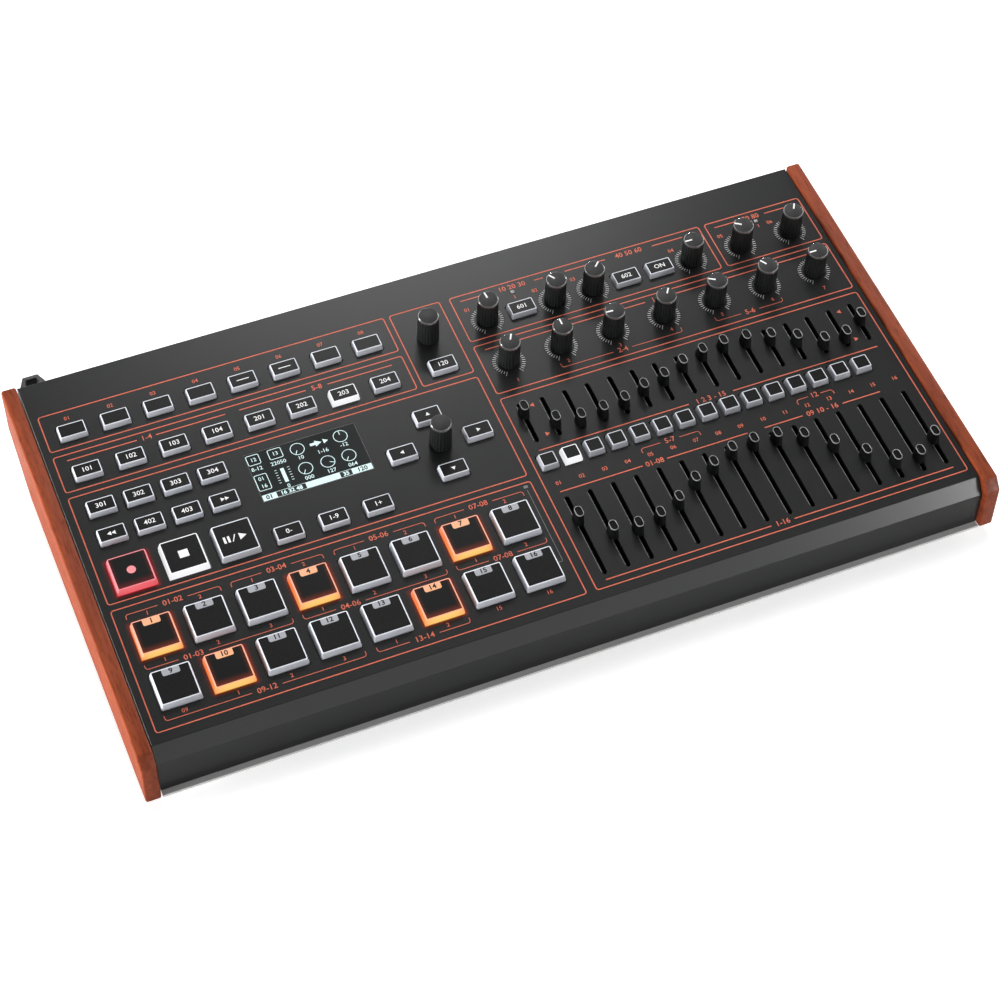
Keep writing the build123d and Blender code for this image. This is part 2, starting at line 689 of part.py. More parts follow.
small_keys = key_group(small_key_places, KEY_FOOT, KEY_TOP, KEY_HEIGHT)
transport_keys = key_group(transport_places, PAD_FOOT, PAD_TOP, PAD_HEIGHT)
write("function_keys", Compound(children=small_keys + transport_keys))
write("pad_keys", Compound(children=key_group(pad_places, PAD_FOOT, PAD_TOP, PAD_HEIGHT)))
write("select_keys", Compound(children=key_group(select_places, SELECT_FOOT, SELECT_TOP, KEY_HEIGHT)))

for name, place in knob_places.items():
    write(name, knob(place, KNOB_HEIGHT))
for name, place in encoder_places.items():
    write(name, knob(place, ENCODER_HEIGHT))
for name, place in fader_places.items():
    write(name, fader(place))
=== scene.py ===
# %% [markdown]
# # A drum machine, from bare solids to the finished look
# The construction is done: every solid is in its place, at its real size, and moves on its joint.
# What is left is all that the eye meets, such as the print on the steel, the lit keys, the ribbed
# knobs and the oiled wood. The CAD solids never move here, and everything is in metres.

# %% Load the fixed frame
import json
from math import cos, pi, radians, sin

import bmesh
import bpy
from mathutils import Euler, Matrix, Vector


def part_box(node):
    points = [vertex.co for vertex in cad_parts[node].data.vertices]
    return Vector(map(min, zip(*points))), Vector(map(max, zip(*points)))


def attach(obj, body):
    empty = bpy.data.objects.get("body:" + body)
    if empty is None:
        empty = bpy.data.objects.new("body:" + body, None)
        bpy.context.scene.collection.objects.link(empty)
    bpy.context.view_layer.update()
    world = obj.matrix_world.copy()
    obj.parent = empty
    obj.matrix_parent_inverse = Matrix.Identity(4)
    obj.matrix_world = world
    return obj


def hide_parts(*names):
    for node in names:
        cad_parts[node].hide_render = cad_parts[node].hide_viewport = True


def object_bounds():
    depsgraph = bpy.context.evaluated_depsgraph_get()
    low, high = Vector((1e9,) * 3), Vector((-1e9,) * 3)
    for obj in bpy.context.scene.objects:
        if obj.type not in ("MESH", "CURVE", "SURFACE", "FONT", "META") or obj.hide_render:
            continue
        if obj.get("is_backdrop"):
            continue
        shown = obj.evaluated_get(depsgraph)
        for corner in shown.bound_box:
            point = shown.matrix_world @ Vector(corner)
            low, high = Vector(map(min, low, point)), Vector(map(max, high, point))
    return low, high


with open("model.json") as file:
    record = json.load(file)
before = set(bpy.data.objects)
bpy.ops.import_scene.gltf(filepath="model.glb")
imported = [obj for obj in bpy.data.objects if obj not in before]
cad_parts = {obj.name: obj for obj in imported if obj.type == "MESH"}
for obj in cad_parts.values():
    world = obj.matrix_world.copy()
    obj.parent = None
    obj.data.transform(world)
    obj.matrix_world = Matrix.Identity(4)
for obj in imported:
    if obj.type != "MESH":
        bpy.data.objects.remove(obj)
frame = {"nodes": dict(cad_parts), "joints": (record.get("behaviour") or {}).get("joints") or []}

cad_low, cad_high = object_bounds()
joints = {joint["name"]: joint for joint in frame["joints"]}
print("CAD nodes:", len(frame["nodes"]), "joints:", len(joints))

# %% [markdown]
# ## The panel as a drawing sheet
# Nearly everything sits on a panel that slopes towards the player. Working in world coordinates,
# each small piece would need its own height. Here the panel is treated as a sheet of paper, with x
# to the right, s up the slope and h above the steel, all in millimetres, and one matrix carries a
# finished drawing to its place. The joints already know the slope, so the matrix comes from them.

# %% The panel's own axes
MM = 0.001
UPPER_KNOB_S = 179.8
TUNING_KNOB_S = 150.2
FIRST_KNOB_X = 23.5

slope = Vector(joints["pan_fader_01_slide"]["axis"])
normal = Vector(joints["pad_keys_press"]["axis"])
right = slope.cross(normal)
first_knob = Vector(joints["wave_knob_1_turn"]["pos_m"])
panel_origin = first_knob - MM * (FIRST_KNOB_X * right + UPPER_KNOB_S * slope)
panel_turn = Matrix((right, slope, normal)).transposed().to_4x4()
panel_place = Matrix.Translation(panel_origin) @ panel_turn @ Matrix.Diagonal((MM, MM, MM, 1))
to_panel = panel_place.inverted()
print("panel origin:", [round(value, 4) for value in panel_origin])


def knob_place(body):
    """Where a knob stands on the sheet, from its joint."""
    x, s, _ = to_panel @ Vector(joints[f"{body}_turn"]["pos_m"])
    return x, s


def fader_place(body):
    """Where a fader stands on the sheet, from the box of its solid."""
    low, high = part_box(body)
    x, s, _ = to_panel @ ((low + high) / 2)
    return x, s


# %% [markdown]
# ## From a bmesh to a piece
# A piece could be modelled with the editor's operators, but those need a selection and a context.
# The bmesh operators work on plain data, so each shape is drawn in a bmesh, in millimetres, and one
# helper turns it into an object that rides on its CAD body. Faces that meet at a small angle are
# shaded smooth, and sharper edges stay crisp.

# %% Helpers for pieces
SMOOTH_ANGLE = radians(40)


def add_piece(name, shape, finish, body, replaces=(), place=panel_place):
    """Makes an object of a shape and hangs it on a CAD body."""
    bmesh.ops.transform(shape, matrix=place, verts=shape.verts)
    mesh = bpy.data.meshes.new(name)
    shape.to_mesh(mesh)
    shape.free()
    mesh.polygons.foreach_set("use_smooth", [True] * len(mesh.polygons))
    mesh.set_sharp_from_angle(angle=SMOOTH_ANGLE)
    mesh.materials.append(finish)
    piece = bpy.data.objects.new(name, mesh)
    bpy.context.scene.collection.objects.link(piece)
    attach(piece, body)
    if replaces:
        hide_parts(*replaces)
    return piece


def repeat(pattern, places):
    """Copies a shape that was drawn about the origin to each (x, s)."""
    mesh = bpy.data.meshes.new("pattern")
    pattern.to_mesh(mesh)
    pattern.free()
    shape = bmesh.new()
    for x, s in places:
        first = len(shape.verts)
        shape.from_mesh(mesh)
        shape.verts.ensure_lookup_table()
        bmesh.ops.translate(shape, vec=(x, s, 0), verts=shape.verts[first:])
    bpy.data.meshes.remove(mesh)
    return shape


def faces_of(made):
    """The faces in what an operator gives back."""
    return [item for item in made["geom"] if isinstance(item, bmesh.types.BMFace)]


def verts_of(made):
    return [item for item in made["geom"] if isinstance(item, bmesh.types.BMVert)]


# %% [markdown]
# ## Shader maths as plain expressions
# A finish is a small sum: a base colour, some grain, a little wear. Wiring that by hand hides the
# sum, so one class wraps a socket and lets +, -, * and / add their own Math nodes. A second class
# holds a material. Its node method adds any node, with settings first and sockets second.

# %% Sockets and finishes
class Value:
    """A node's output that can stand in an expression."""

    def __init__(self, finish, socket):
        self.finish = finish
        self.socket = socket

    def __add__(self, other):
        return self.finish.maths("ADD", self, other)

    def __sub__(self, other):
        return self.finish.maths("SUBTRACT", self, other)

    def __rsub__(self, other):
        return self.finish.maths("SUBTRACT", other, self)

    def __mul__(self, other):
        return self.finish.maths("MULTIPLY", self, other)

    def __truediv__(self, other):
        return self.finish.maths("DIVIDE", self, other)

    def __pow__(self, other):
        return self.finish.maths("POWER", self, other)

    __radd__ = __add__
    __rmul__ = __mul__


class Finish:
    """A procedural material around one Principled shader."""

    def __init__(self, name, **constants):
        self.material = bpy.data.materials.new(name)
        self.material.use_nodes = True
        self.tree = self.material.node_tree
        self.shader = self.tree.nodes["Principled BSDF"]
        for socket, value in constants.items():
            self.feed(socket.replace("_", " "), value)

    def node(self, kind, settings=(), inputs=(), output=0):
        node = self.tree.nodes.new(kind)
        for name, value in dict(settings).items():
            if name == "stops":
                for stop, (position, colour) in zip(node.color_ramp.elements, value, strict=True):
                    stop.position, stop.color = position, colour
            else:
                setattr(node, name, value)
        for name, value in dict(inputs).items():
            if isinstance(value, Value):
                self.tree.links.new(value.socket, node.inputs[name])
            else:
                node.inputs[name].default_value = value
        return Value(self, node.outputs[output])

    def maths(self, operation, first, second=0.0):
        return self.node("ShaderNodeMath", {"operation": operation}, {0: first, 1: second})

    def feed(self, socket, value):
        """Sets a socket of the shader, or links a pattern to it."""
        if isinstance(value, Value):
            self.tree.links.new(value.socket, self.shader.inputs[socket])
        else:
            self.shader.inputs[socket].default_value = value

    def place(self, scale=(1, 1, 1)):
        """Object coordinates, stretched by a Mapping node."""
        where = self.node("ShaderNodeTexCoord", output="Object")
        return self.node("ShaderNodeMapping", {}, {"Vector": where, "Scale": scale})

    def noise(self, scale, detail=2.0, rough=0.5, stretch=(1, 1, 1)):
        inputs = {"Vector": self.place(stretch), "Scale": scale, "Detail": detail, "Roughness": rough}
        return self.node("ShaderNodeTexNoise", {}, inputs)

    def mix(self, factor, first, second):
        return self.node("ShaderNodeMix", {"data_type": "RGBA"}, {0: factor, 6: first, 7: second}, output=2)

    def between(self, value, low, high):
        """0 below low, 1 above high, and a soft step in between."""
        return self.node("ShaderNodeMapRange", {"interpolation_type": "SMOOTHSTEP"},
                         {"Value": value, "From Min": low, "From Max": high})

    def bump(self, height, distance, strength=1.0):
        inputs = {"Height": height, "Distance": distance, "Strength": strength}
        self.feed("Normal", self.node("ShaderNodeBump", {}, inputs))

    def plan(self):
        """Where a point lies on its key as seen from above, -1 to 1 each way."""
        seen = self.node("ShaderNodeUVMap", {"uv_map": "plan"})
        across = self.node("ShaderNodeSeparateXYZ", {}, {0: seen}, output=0)
        along = self.node("ShaderNodeSeparateXYZ", {}, {0: seen}, output=1)
        return across * 2 - 1, along * 2 - 1

    def facing(self, direction):
        """1 where the surface looks along the direction, 0 where it looks sideways."""
        surface = self.node("ShaderNodeNewGeometry", output=1)
        return self.node("ShaderNodeVectorMath", {"operation": "DOT_PRODUCT"},
                         {0: surface, 1: direction}, output=1)


def shade(level, tint=(1, 1, 1)):
    """A colour with alpha, from a level and a tint."""
    return (*[level * part for part in tint], 1)


# %% [markdown]
# ## Powder-coated steel
# The shell is folded steel with a baked powder coat: dark grey, satin, with a skin as fine as sand.
# Real powder flows a little before it sets, so the skin has two sizes of grain. A flat colour with a
# low roughness would look like plastic, and the grain is what breaks the highlights up.

# %% The steel's finish
GRAIN_SCALE = 1900
FLOW_SCALE = 420
CLOUD_SCALE = 9
COAT_DEPTH = 0.012 * MM


def powder_coat(name, dark, light, roughness, gloss=0.3):
    """Baked powder between two shades, with a fine grain and a coarser flow."""
    finish = Finish(name, Specular_IOR_Level=gloss)
    grain = finish.noise(GRAIN_SCALE, detail=1.0)
    flow = finish.noise(FLOW_SCALE, detail=2.0)
    cloud = finish.noise(CLOUD_SCALE, detail=3.0)
    finish.feed("Base Color", finish.mix(cloud * 0.7 + grain * 0.3, dark, light))
    finish.feed("Roughness", roughness + (flow - 0.5) * 0.04)
    finish.bump(grain * 0.8 + flow * 0.2, COAT_DEPTH)
    return finish.material


COAT_TINT = (0.98, 1.0, 1.0)
shell_finish = powder_coat("powder_coat_dark", shade(0.013, COAT_TINT), shade(0.019, COAT_TINT), 0.30)
base_finish = powder_coat("powder_coat_pale", shade(0.62), shade(0.72), 0.5)


def dress(node, material):
    """Gives a CAD node its finish, in every slot that it has."""
    slots = frame["nodes"][node].material_slots
    if not slots:
        frame["nodes"][node].data.materials.append(material)
    for slot in slots:
        slot.material = material


dress("top_panel", shell_finish)
dress("bottom_pan", base_finish)
print("coats:", shell_finish.name, base_finish.name)

# %% [markdown]
# ## Stained wood for the cheeks
# The end pieces are solid wood with a red-brown stain. Wood's figure is long, so the noise is
# squeezed hard along the board: one noise makes the broad bands, a finer one the pores, which take
# up more stain and catch less light. An image of wood would repeat, and noise never does.

# %% The cheeks' finish
BAND_STRETCH = (300, 14, 260)
PORE_STRETCH = (1500, 110, 1500)
WOOD_DARK = (0.195, 0.037, 0.0130, 1)
WOOD_LIGHT = (0.275, 0.056, 0.020, 1)
WOOD_PORE = (0.095, 0.019, 0.008, 1)
PORE_DEPTH = 0.08 * MM


def stained_wood():
    """Broad bands between two stains, and fine pores that are darker, rougher and sunk."""
    finish = Finish("stained_wood", Specular_IOR_Level=0.15)
    band = finish.noise(1, detail=5.0, rough=0.6, stretch=BAND_STRETCH)
    pore = finish.between(finish.noise(1, detail=3.0, rough=0.6, stretch=PORE_STRETCH), 0.52, 0.68)
    stain = finish.mix(finish.between(band, 0.34, 0.66), WOOD_DARK, WOOD_LIGHT)
    finish.feed("Base Color", finish.mix(pore * 0.6, stain, WOOD_PORE))
    finish.feed("Roughness", 0.45 + pore * 0.2)
    finish.bump(1 - pore, PORE_DEPTH)
    return finish.material


wood_finish = stained_wood()
print("wood nodes:", len(wood_finish.node_tree.nodes))

# %% [markdown]
# ## Plastics, rubber, glass and the board
# Moulded plastic is never quite even: it has a spark-eroded grain where it is matt, and flow marks
# where it is glossy. One function makes nearly all of them, from two shades, a roughness and a grain
# depth in millimetres. The keys need their own, because they pass light.

# %% Moulded finishes
MOULD_SCALE = 2600
DRIFT_SCALE = 35
ROUGHNESS_SPREAD = 0.15


def moulded(name, dark, light, roughness, grain_depth, **constants):
    """Plastic that drifts between two shades, with a spark-eroded grain."""
    finish = Finish(name, **constants)
    grain = finish.noise(MOULD_SCALE, detail=1.0)
    drift = finish.noise(DRIFT_SCALE, detail=2.0)
    finish.feed("Base Color", finish.mix(drift, dark, light))
    finish.feed("Roughness", roughness + (grain - 0.5) * ROUGHNESS_SPREAD)
    finish.bump(grain, grain_depth * MM)
    return finish.material


BLACK_TINT = (0.90, 1.0, 1.0)
rubber_finish = moulded("foot_rubber", shade(0.018), shade(0.028), 0.75, 0.05)
knob_finish = moulded("knob_black", shade(0.012, BLACK_TINT), shade(0.017, BLACK_TINT), 0.38, 0.02,
                      Specular_IOR_Level=0.45)
knob_cap_finish = moulded("knob_cap_grey", shade(0.028), shade(0.034), 0.45, 0.01, Specular_IOR_Level=0.2)
rim_finish = moulded("knob_rim", shade(0.42), shade(0.48), 0.18, 0.001, Metallic=0.9)
fader_finish = moulded("fader_black", shade(0.003, BLACK_TINT), shade(0.005, BLACK_TINT), 0.42, 0.01,
                       Specular_IOR_Level=0.15)
# The fader lip's pale grey is a painted highlight for the glossy black rim; its metal gloss adds real
# highlights too.
fader_lip_highlight_finish = moulded("fader_rim", shade(0.34), shade(0.42), 0.4, 0.002, Metallic=0.4)
plate_finish = moulded("key_plate", shade(0.007), shade(0.010), 0.3, 0.004, Specular_IOR_Level=0.2)
socket_finish = moulded("socket_black", shade(0.012), shade(0.018), 0.45, 0.03)
switch_finish = moulded("switch_black", shade(0.012), shade(0.016), 0.3, 0.02)
hook_finish = powder_coat("powder_coat_hook", shade(0.03), shade(0.05), 0.3, gloss=0.6)
pointer_finish = moulded("pointer_white", shade(0.86), shade(0.92), 0.4, 0.01)
metal_finish = moulded("plated_metal", shade(0.55), shade(0.68), 0.25, 0.004, Metallic=1.0)
lamp_finish = moulded("lamp_lens", shade(0.30), shade(0.36), 0.15, 0.002)
# The pale strips along the cut edges of the steel are painted highlights.
edge_highlight_finish = moulded("slot_edge", shade(0.28), shade(0.42), 0.35, 0.004)
print("finishes so far:", len(bpy.data.materials))

# %% [markdown]
# ## Translucent keys
# A key is clear grey plastic, so its thin rim looks paler than its sides. Real light scattering would
# show that too, but it is slow and noisy on sixty-nine small keys, so the paler rim is painted instead:
# which way the surface faces tells the rim from the sides, and the rim gets a lighter shade, a painted
# highlight.

# %% Key finishes
KEY_TINT = (0.89, 0.92, 1.0)
KEY_ROUGHNESS, KEY_GRAIN = 0.38, 0.01


def key_plastic(name, side_level, rim_highlight_level):
    """Translucent grey plastic whose upward-facing rim has a lighter shade, a painted highlight."""
    finish = Finish(name)
    grain = finish.noise(MOULD_SCALE, detail=1.0)
    drift = finish.noise(DRIFT_SCALE, detail=2.0)
    side = finish.mix(drift, shade(side_level * 0.95, KEY_TINT), shade(side_level * 1.05, KEY_TINT))
    # The rim is the lighter shade only because it faces up: a painted highlight.
    rim = finish.between(finish.facing(normal), 0.6, 0.95)
    finish.feed("Base Color", finish.mix(rim, side, shade(rim_highlight_level, KEY_TINT)))
    finish.feed("Roughness", KEY_ROUGHNESS + (grain - 0.5) * ROUGHNESS_SPREAD)
    finish.bump(grain, KEY_GRAIN * MM)
    return finish.material


key_finish = key_plastic("key_plastic", 0.56, 0.90)
pad_finish = key_plastic("pad_plastic", 0.64, 0.92)
select_finish = key_plastic("select_plastic", 0.40, 0.74)
tab_finish = moulded("tab_plastic", shade(0.36, KEY_TINT), shade(0.42, KEY_TINT), 0.42, 0.01)
print("key finishes:", key_finish.name, pad_finish.name, select_finish.name, tab_finish.name)

# %% [markdown]
# ## Glass and board
# The display hides behind dark glass, and through the slots a little of the board can be seen. Glass
# is smooth, with faint smears in its gloss. The board is lacquer over a web of traces, which the
# borders between Voronoi cells draw, because with the Manhattan distance they run in steps. Its
# ground is near black, a painted shade that keeps the slots as dark as the inside of the case.

# %% Glass and board finishes
GLASS_TINT = (0.9, 1.0, 1.02)
SMEAR_SCALE, TRACE_SCALE = 60, 260


def glass():
    """Dark glass over the display, with faint smears that only the gloss shows."""
    finish = Finish("display_glass", Specular_IOR_Level=0.25)
    smear = finish.noise(SMEAR_SCALE, detail=4.0)
    finish.feed("Base Color", finish.mix(smear, shade(0.019, GLASS_TINT), shade(0.026, GLASS_TINT)))
    finish.feed("Roughness", 0.12 + smear * 0.06)
    return finish.material


def board_laminate():
    """Lacquered board with a web of traces on a near-black ground, which is painted shade."""
    finish = Finish("board_laminate", Specular_IOR_Level=0.1)
    trace = finish.node("ShaderNodeTexVoronoi", {"feature": "DISTANCE_TO_EDGE", "distance": "MANHATTAN"},
                        {"Vector": finish.place(), "Scale": TRACE_SCALE})
    mask = finish.between(trace, 0.06, 0.1)
    # The near-black ground is painted shade for the slots; the traces are the board's own pattern.
    finish.feed("Base Color", finish.mix(mask, (0.003, 0.005, 0.0035, 1), (0.0015, 0.002, 0.0015, 1)))
    finish.feed("Roughness", 0.5 + mask * 0.1)
    return finish.material


dress("rubber_feet", rubber_finish)
dress("circuit_board", board_laminate())
dress("display_module", glass())
dress("rear_sockets", socket_finish)
dress("cable_hook", hook_finish)
dress("power_switch", switch_finish)
print("finishes:", len(bpy.data.materials))

# %% [markdown]
# ## Eased edges on the cheeks
# Wood does not keep a knife edge, so a joiner breaks each edge with a small round-over. It also
# draws the fine line of light along the board. The mesh of the solid is the start, so its outline
# stays, and only the sharp edges are bevelled.

# %% Cheeks with eased edges
EASE = 0.5 * MM
SHARP_EDGE = radians(20)


def eased(node):
    """The mesh of a CAD node with its sharp edges rounded over."""
    shape = bmesh.new()
    shape.from_mesh(frame["nodes"][node].data)
    bmesh.ops.remove_doubles(shape, verts=shape.verts, dist=0.001 * MM)
    bmesh.ops.dissolve_limit(shape, angle_limit=radians(2), verts=shape.verts, edges=shape.edges)
    sharp = [edge for edge in shape.edges if edge.calc_face_angle(0.0) > SHARP_EDGE]
    bmesh.ops.bevel(shape, geom=sharp, offset=EASE, offset_type="OFFSET", segments=2, profile=0.5,
                    affect="EDGES", clamp_overlap=True, material=-1)
    return shape


for node in ("left_cheek", "right_cheek"):
    board = add_piece(f"{node}_board", eased(node), wood_finish, "case", [node],
                      Matrix.Identity(4))
    print(board.name, "faces:", len(board.data.polygons))

# %% [markdown]
# ## Ink
# The print is screen-printed: a layer of ink with a soft edge and a slightly uneven cover. It is
# laid as thin flat faces a few hundredths of a millimetre above the steel, so that it has a real
# outline in any light and needs no image.

# %% Ink finishes
INK_SCALE = 700


def ink(name, thin, full):
    """Ink that covers unevenly, between its colour where it is thin and where it is full."""
    finish = Finish(name, Specular_IOR_Level=0.3)
    cover = finish.noise(INK_SCALE, detail=3.0, rough=0.7)
    finish.feed("Base Color", finish.mix(finish.between(cover, 0.3, 0.55), thin, full))
    finish.feed("Roughness", 0.5 + cover * 0.1)
    return finish.material


orange_ink = ink("ink_orange", (0.52, 0.112, 0.062, 1), (0.70, 0.155, 0.088, 1))
white_ink = ink("ink_white", shade(0.72), shade(0.85))
grey_ink = ink("ink_grey", shade(0.12), shade(0.18))
dark_ink = ink("ink_dark", shade(0.01), shade(0.02))
print("inks:", [finish.name for finish in (orange_ink, white_ink, grey_ink, dark_ink)])

# %% [markdown]
# ## Drawing lines
# A printed line is a row of flat rectangles with round corners between them. A curve with a bevel
# could do it, but it would make round tubes. Here each straight is a one-face grid, and each corner
# is a short edge that the spin operator sweeps through the turn.

# %% Helpers for print
INK_HEIGHT = 0.03
LINE_WIDTH = 0.58
THIN_LINE = 0.36
CORNER_RADIUS = 1.4
CORNER_STEPS = 4


def bar(shape, start, end, width, height=INK_HEIGHT):
    """A flat rectangle from start to end."""
    start, end = Vector(start), Vector(end)
    along = end - start
    turn = Matrix.Rotation(-Vector((1, 0)).angle_signed(along), 4, "Z")
    middle = (start + end) / 2
    place = Matrix.Translation((*middle, height)) @ turn @ Matrix.Diagonal((along.length, width, 1, 1))
    bmesh.ops.create_grid(shape, x_segments=1, y_segments=1, size=0.5, matrix=place)


def bend(shape, before, corner, after, width, radius, height):
    """Sweeps the line's own width round a corner."""
    way_in = (corner - before).normalized()
    way_out = (after - corner).normalized()
    start = corner - way_in * radius
    centre = start + way_out * radius
    across = Vector((-way_in.y, way_in.x)) * width / 2
    ends = [shape.verts.new((*(start + side * across), height)) for side in (-1, 1)]
    edge = shape.edges.new(ends)
    turn = -way_in.angle_signed(way_out)
    bmesh.ops.spin(shape, geom=[*ends, edge], cent=(*centre, height), axis=(0, 0, 1),
                   angle=turn, steps=CORNER_STEPS)


def line(shape, points, width=LINE_WIDTH, radius=CORNER_RADIUS, height=INK_HEIGHT):
    """A printed line through the points."""
    points = [Vector(point) for point in points]
    for before, corner, after in zip(points, points[1:], points[2:]):
        bend(shape, before, corner, after, width, radius, height)
    for k, (start, end) in enumerate(zip(points, points[1:])):
        way = (end - start).normalized() * radius
        first = start if k == 0 else start + way
        last = end if k == len(points) - 2 else end - way
        bar(shape, first, last, width, height)


def box_line(shape, low, high, width=LINE_WIDTH, radius=CORNER_RADIUS, height=INK_HEIGHT):
    """A closed frame, which starts in the middle of its front side."""
    (x0, s0), (x1, s1) = low, high
    middle = ((x0 + x1) / 2, s0)
    line(shape, [middle, (x1, s0), (x1, s1), (x0, s1), (x0, s0), middle], width, radius, height)


BOLD, BOLDER = 0.008, 0.03


def digits(shape, text, x, s, size, height=INK_HEIGHT, weight=BOLD):
    """Plain figures, centred on (x, s) and thickened by a share of their size."""
    curve = bpy.data.curves.new("figures", "FONT")
    curve.body, curve.size, curve.resolution_u = text, size, 2
    curve.offset = weight * size
    curve.align_x, curve.align_y = "CENTER", "CENTER"
    holder = bpy.data.objects.new("figures", curve)
    glyphs = bpy.data.meshes.new_from_object(holder)
    glyphs.transform(Matrix.Translation((x, s, height)))
    shape.from_mesh(glyphs)
    bpy.data.meshes.remove(glyphs)
    bpy.data.objects.remove(holder)


def face_up(shape):
    """Print is seen from above only."""
    bmesh.ops.remove_doubles(shape, verts=shape.verts, dist=0.0005)
    for face in shape.faces:
        face.normal_update()
        if face.normal.z < 0:
            face.normal_flip()
    return shape


# %% [markdown]
# ## The section frames
# Every group of controls is fenced by an orange frame, and most frames carry a heading line with a
# gap in it. The words that such a machine has there are left out. Plain section numbers stand in
# their place.

# %% Frames and headings
FRAMES = (
    ((-210.6, 176.7), (-26.6, 199.7)),
    ((-210.6, 150.45), (-26.6, 173.0)),
    ((-23.3, 150.45), (4.4, 199.7)),
    ((-210.7, 80.5), (4.6, 146.75)),
    ((-210.8, 5.6), (4.6, 76.7)),
    ((10.0, 169.0), (152.8, 199.7)),
    ((156.4, 169.0), (212.1, 199.7)),
    ((9.9, 132.8), (212.0, 165.35)),
    ((9.9, 5.55), (212.1, 129.2)),
)
HEADINGS = (
    (169.2, ((-204.4, -168.6), (-158.6, -122.5), (-115.1, -79.8), (-68.0, -33.2))),
    (196.0, ((15.0, 31.0), (56.6, 61.5), (74.0, 97.0), (124.3, 142.0), (161.0, 174.0), (190.4, 202.0))),
    (161.7, ((15.0, 105.0), (118.0, 200.4))),
    (92.5, ((16.1, 98.3), (123.2, 205.7))),
    (65.4, ((16.1, 60.6), (74.0, 118.5), (128.0, 149.2), (172.0, 193.4))),
    (9.6, ((16.4, 105.0), (117.5, 206.0))),
)

frame_print = bmesh.new()
for low, high in FRAMES:
    box_line(frame_print, low, high)
for s, spans in HEADINGS:
    for start, end in spans:
        bar(frame_print, (start, s), (end, s), LINE_WIDTH)
add_piece("frame_print", face_up(frame_print), orange_ink, "case")
print("frames:", len(FRAMES), "heading lines:", sum(len(spans) for _, spans in HEADINGS))

# %% [markdown]
# ## Brackets over groups of controls
# Thin brackets gather neighbouring controls: a line whose ends turn towards the controls, broken in
# the middle where its caption stands.

# %% Brackets
BRACKET_TICK = 2.8
CAPTION_SIZE = 4.3
CAPTION_GAP = {2: 7.0, 3: 10.5, 5: 15.0}
BRACKETS = (
    (72.3, -1, ((-204.9, -158.0, 0.5, "01-02"), (-152.7, -106.0, 0.5, "03-04"),
                (-100.4, -53.5, 0.5, "05-06"), (-48.2, -1.4, 0.5, "07-08"))),
    (39.8, 1, ((-204.9, -131.8, 0.32, "01-03"), (-126.6, -53.4, 0.32, "04-06"), (-48.2, -1.4, 0.5, "07-08"))),
    (10.2, 1, ((-204.8, -106.0, 0.5, "09-12"), (-100.4, -53.4, 0.5, "13-14"))),
    (137.0, 1, ((47.7, 115.4, 0.5, "2-4"), (134.8, 173.3, 0.5, "5-6"))),
    (75.4, -1, ((64.0, 96.0, 0.5, "5-7"), (150.6, 171.0, 0.5, "12"))),
)

bracket_print = bmesh.new()
caption_print = bmesh.new()
for s, side, spans in BRACKETS:
    for start, end, share, text in spans:
        middle = start + (end - start) * share
        gap = CAPTION_GAP[len(text)]
        for edge, sign in ((start, -1), (end, 1)):
            points = [(middle + sign * gap / 2, s), (edge, s), (edge, s + side * BRACKET_TICK)]
            line(bracket_print, points, THIN_LINE)
        digits(caption_print, text, middle, s, CAPTION_SIZE)
add_piece("bracket_print", face_up(bracket_print), orange_ink, "case")
print("brackets:", sum(len(spans) for _, _, spans in BRACKETS))

# %% [markdown]
# ## Where the controls stand
# The rows are worked out from a first place and a pitch, as on the steel itself. The same lists
# place the keys, their figures and the captions beside them.

# %% Key places
CHANNELS = 16
COLUMN_PITCH = 12.455
FIRST_COLUMN_X = 17.47
FUNCTION_FIRST_X = -196.96
FUNCTION_PITCH = 22.31
SHORT_PITCH = 18.98
PAD_FIRST_X = -194.72
PAD_PITCH = 26.13
PAD_ROWS_S = (55.7, 26.1)
TRANSPORT_S = 94.0
SELECT_S = 84.35
ARROW_STEP_X = 20.15
ARROW_STEP_S = 17.75


def row(first_x, pitch, count, s):
    """Places at an even pitch, all at the height s of the sheet."""
    return [(first_x + pitch * k, s) for k in range(count)]


upper_row = row(FUNCTION_FIRST_X, FUNCTION_PITCH, 8, 185.1)
lower_row = row(FUNCTION_FIRST_X, FUNCTION_PITCH, 8, 159.0)
short_rows = row(FUNCTION_FIRST_X, SHORT_PITCH, 4, 135.9) + row(FUNCTION_FIRST_X, SHORT_PITCH, 4, 118.0)
tap_key = [(-9.4, 159.0)]
value_x, value_s = knob_place("value_knob")
arrow_keys = [
    (value_x, value_s + ARROW_STEP_S),
    (value_x - ARROW_STEP_X, value_s),
    (value_x + ARROW_STEP_X, value_s),
    (value_x, value_s - ARROW_STEP_S),
]
menu_keys = row(-116.9, 23.1, 3, 88.9)
wave_keys = [(x, UPPER_KNOB_S) for x in (42.85, 102.1, 121.2)]
pad_places = [(PAD_FIRST_X + PAD_PITCH * k, s) for s in PAD_ROWS_S for k in range(8)]
transport_places = row(PAD_FIRST_X, PAD_PITCH, 3, TRANSPORT_S)
select_places = row(FIRST_COLUMN_X, COLUMN_PITCH, CHANNELS - 1, SELECT_S)
small_keys = upper_row + lower_row + short_rows + tap_key + arrow_keys + menu_keys + wave_keys
LIT_SMALL_KEY = 14
LIT_SELECT_KEY = 1
LIT_PADS = (0, 3, 6, 9, 13)
print("keys:", len(small_keys) + len(pad_places) + len(transport_places) + len(select_places))

# %% [markdown]
# ## Captions
# Headings stand in the gaps of their lines, and small figures stand by the controls that they count.
# They are real text outlines, filled and laid flat, because a curve's outline stays sharp however
# near the camera comes.

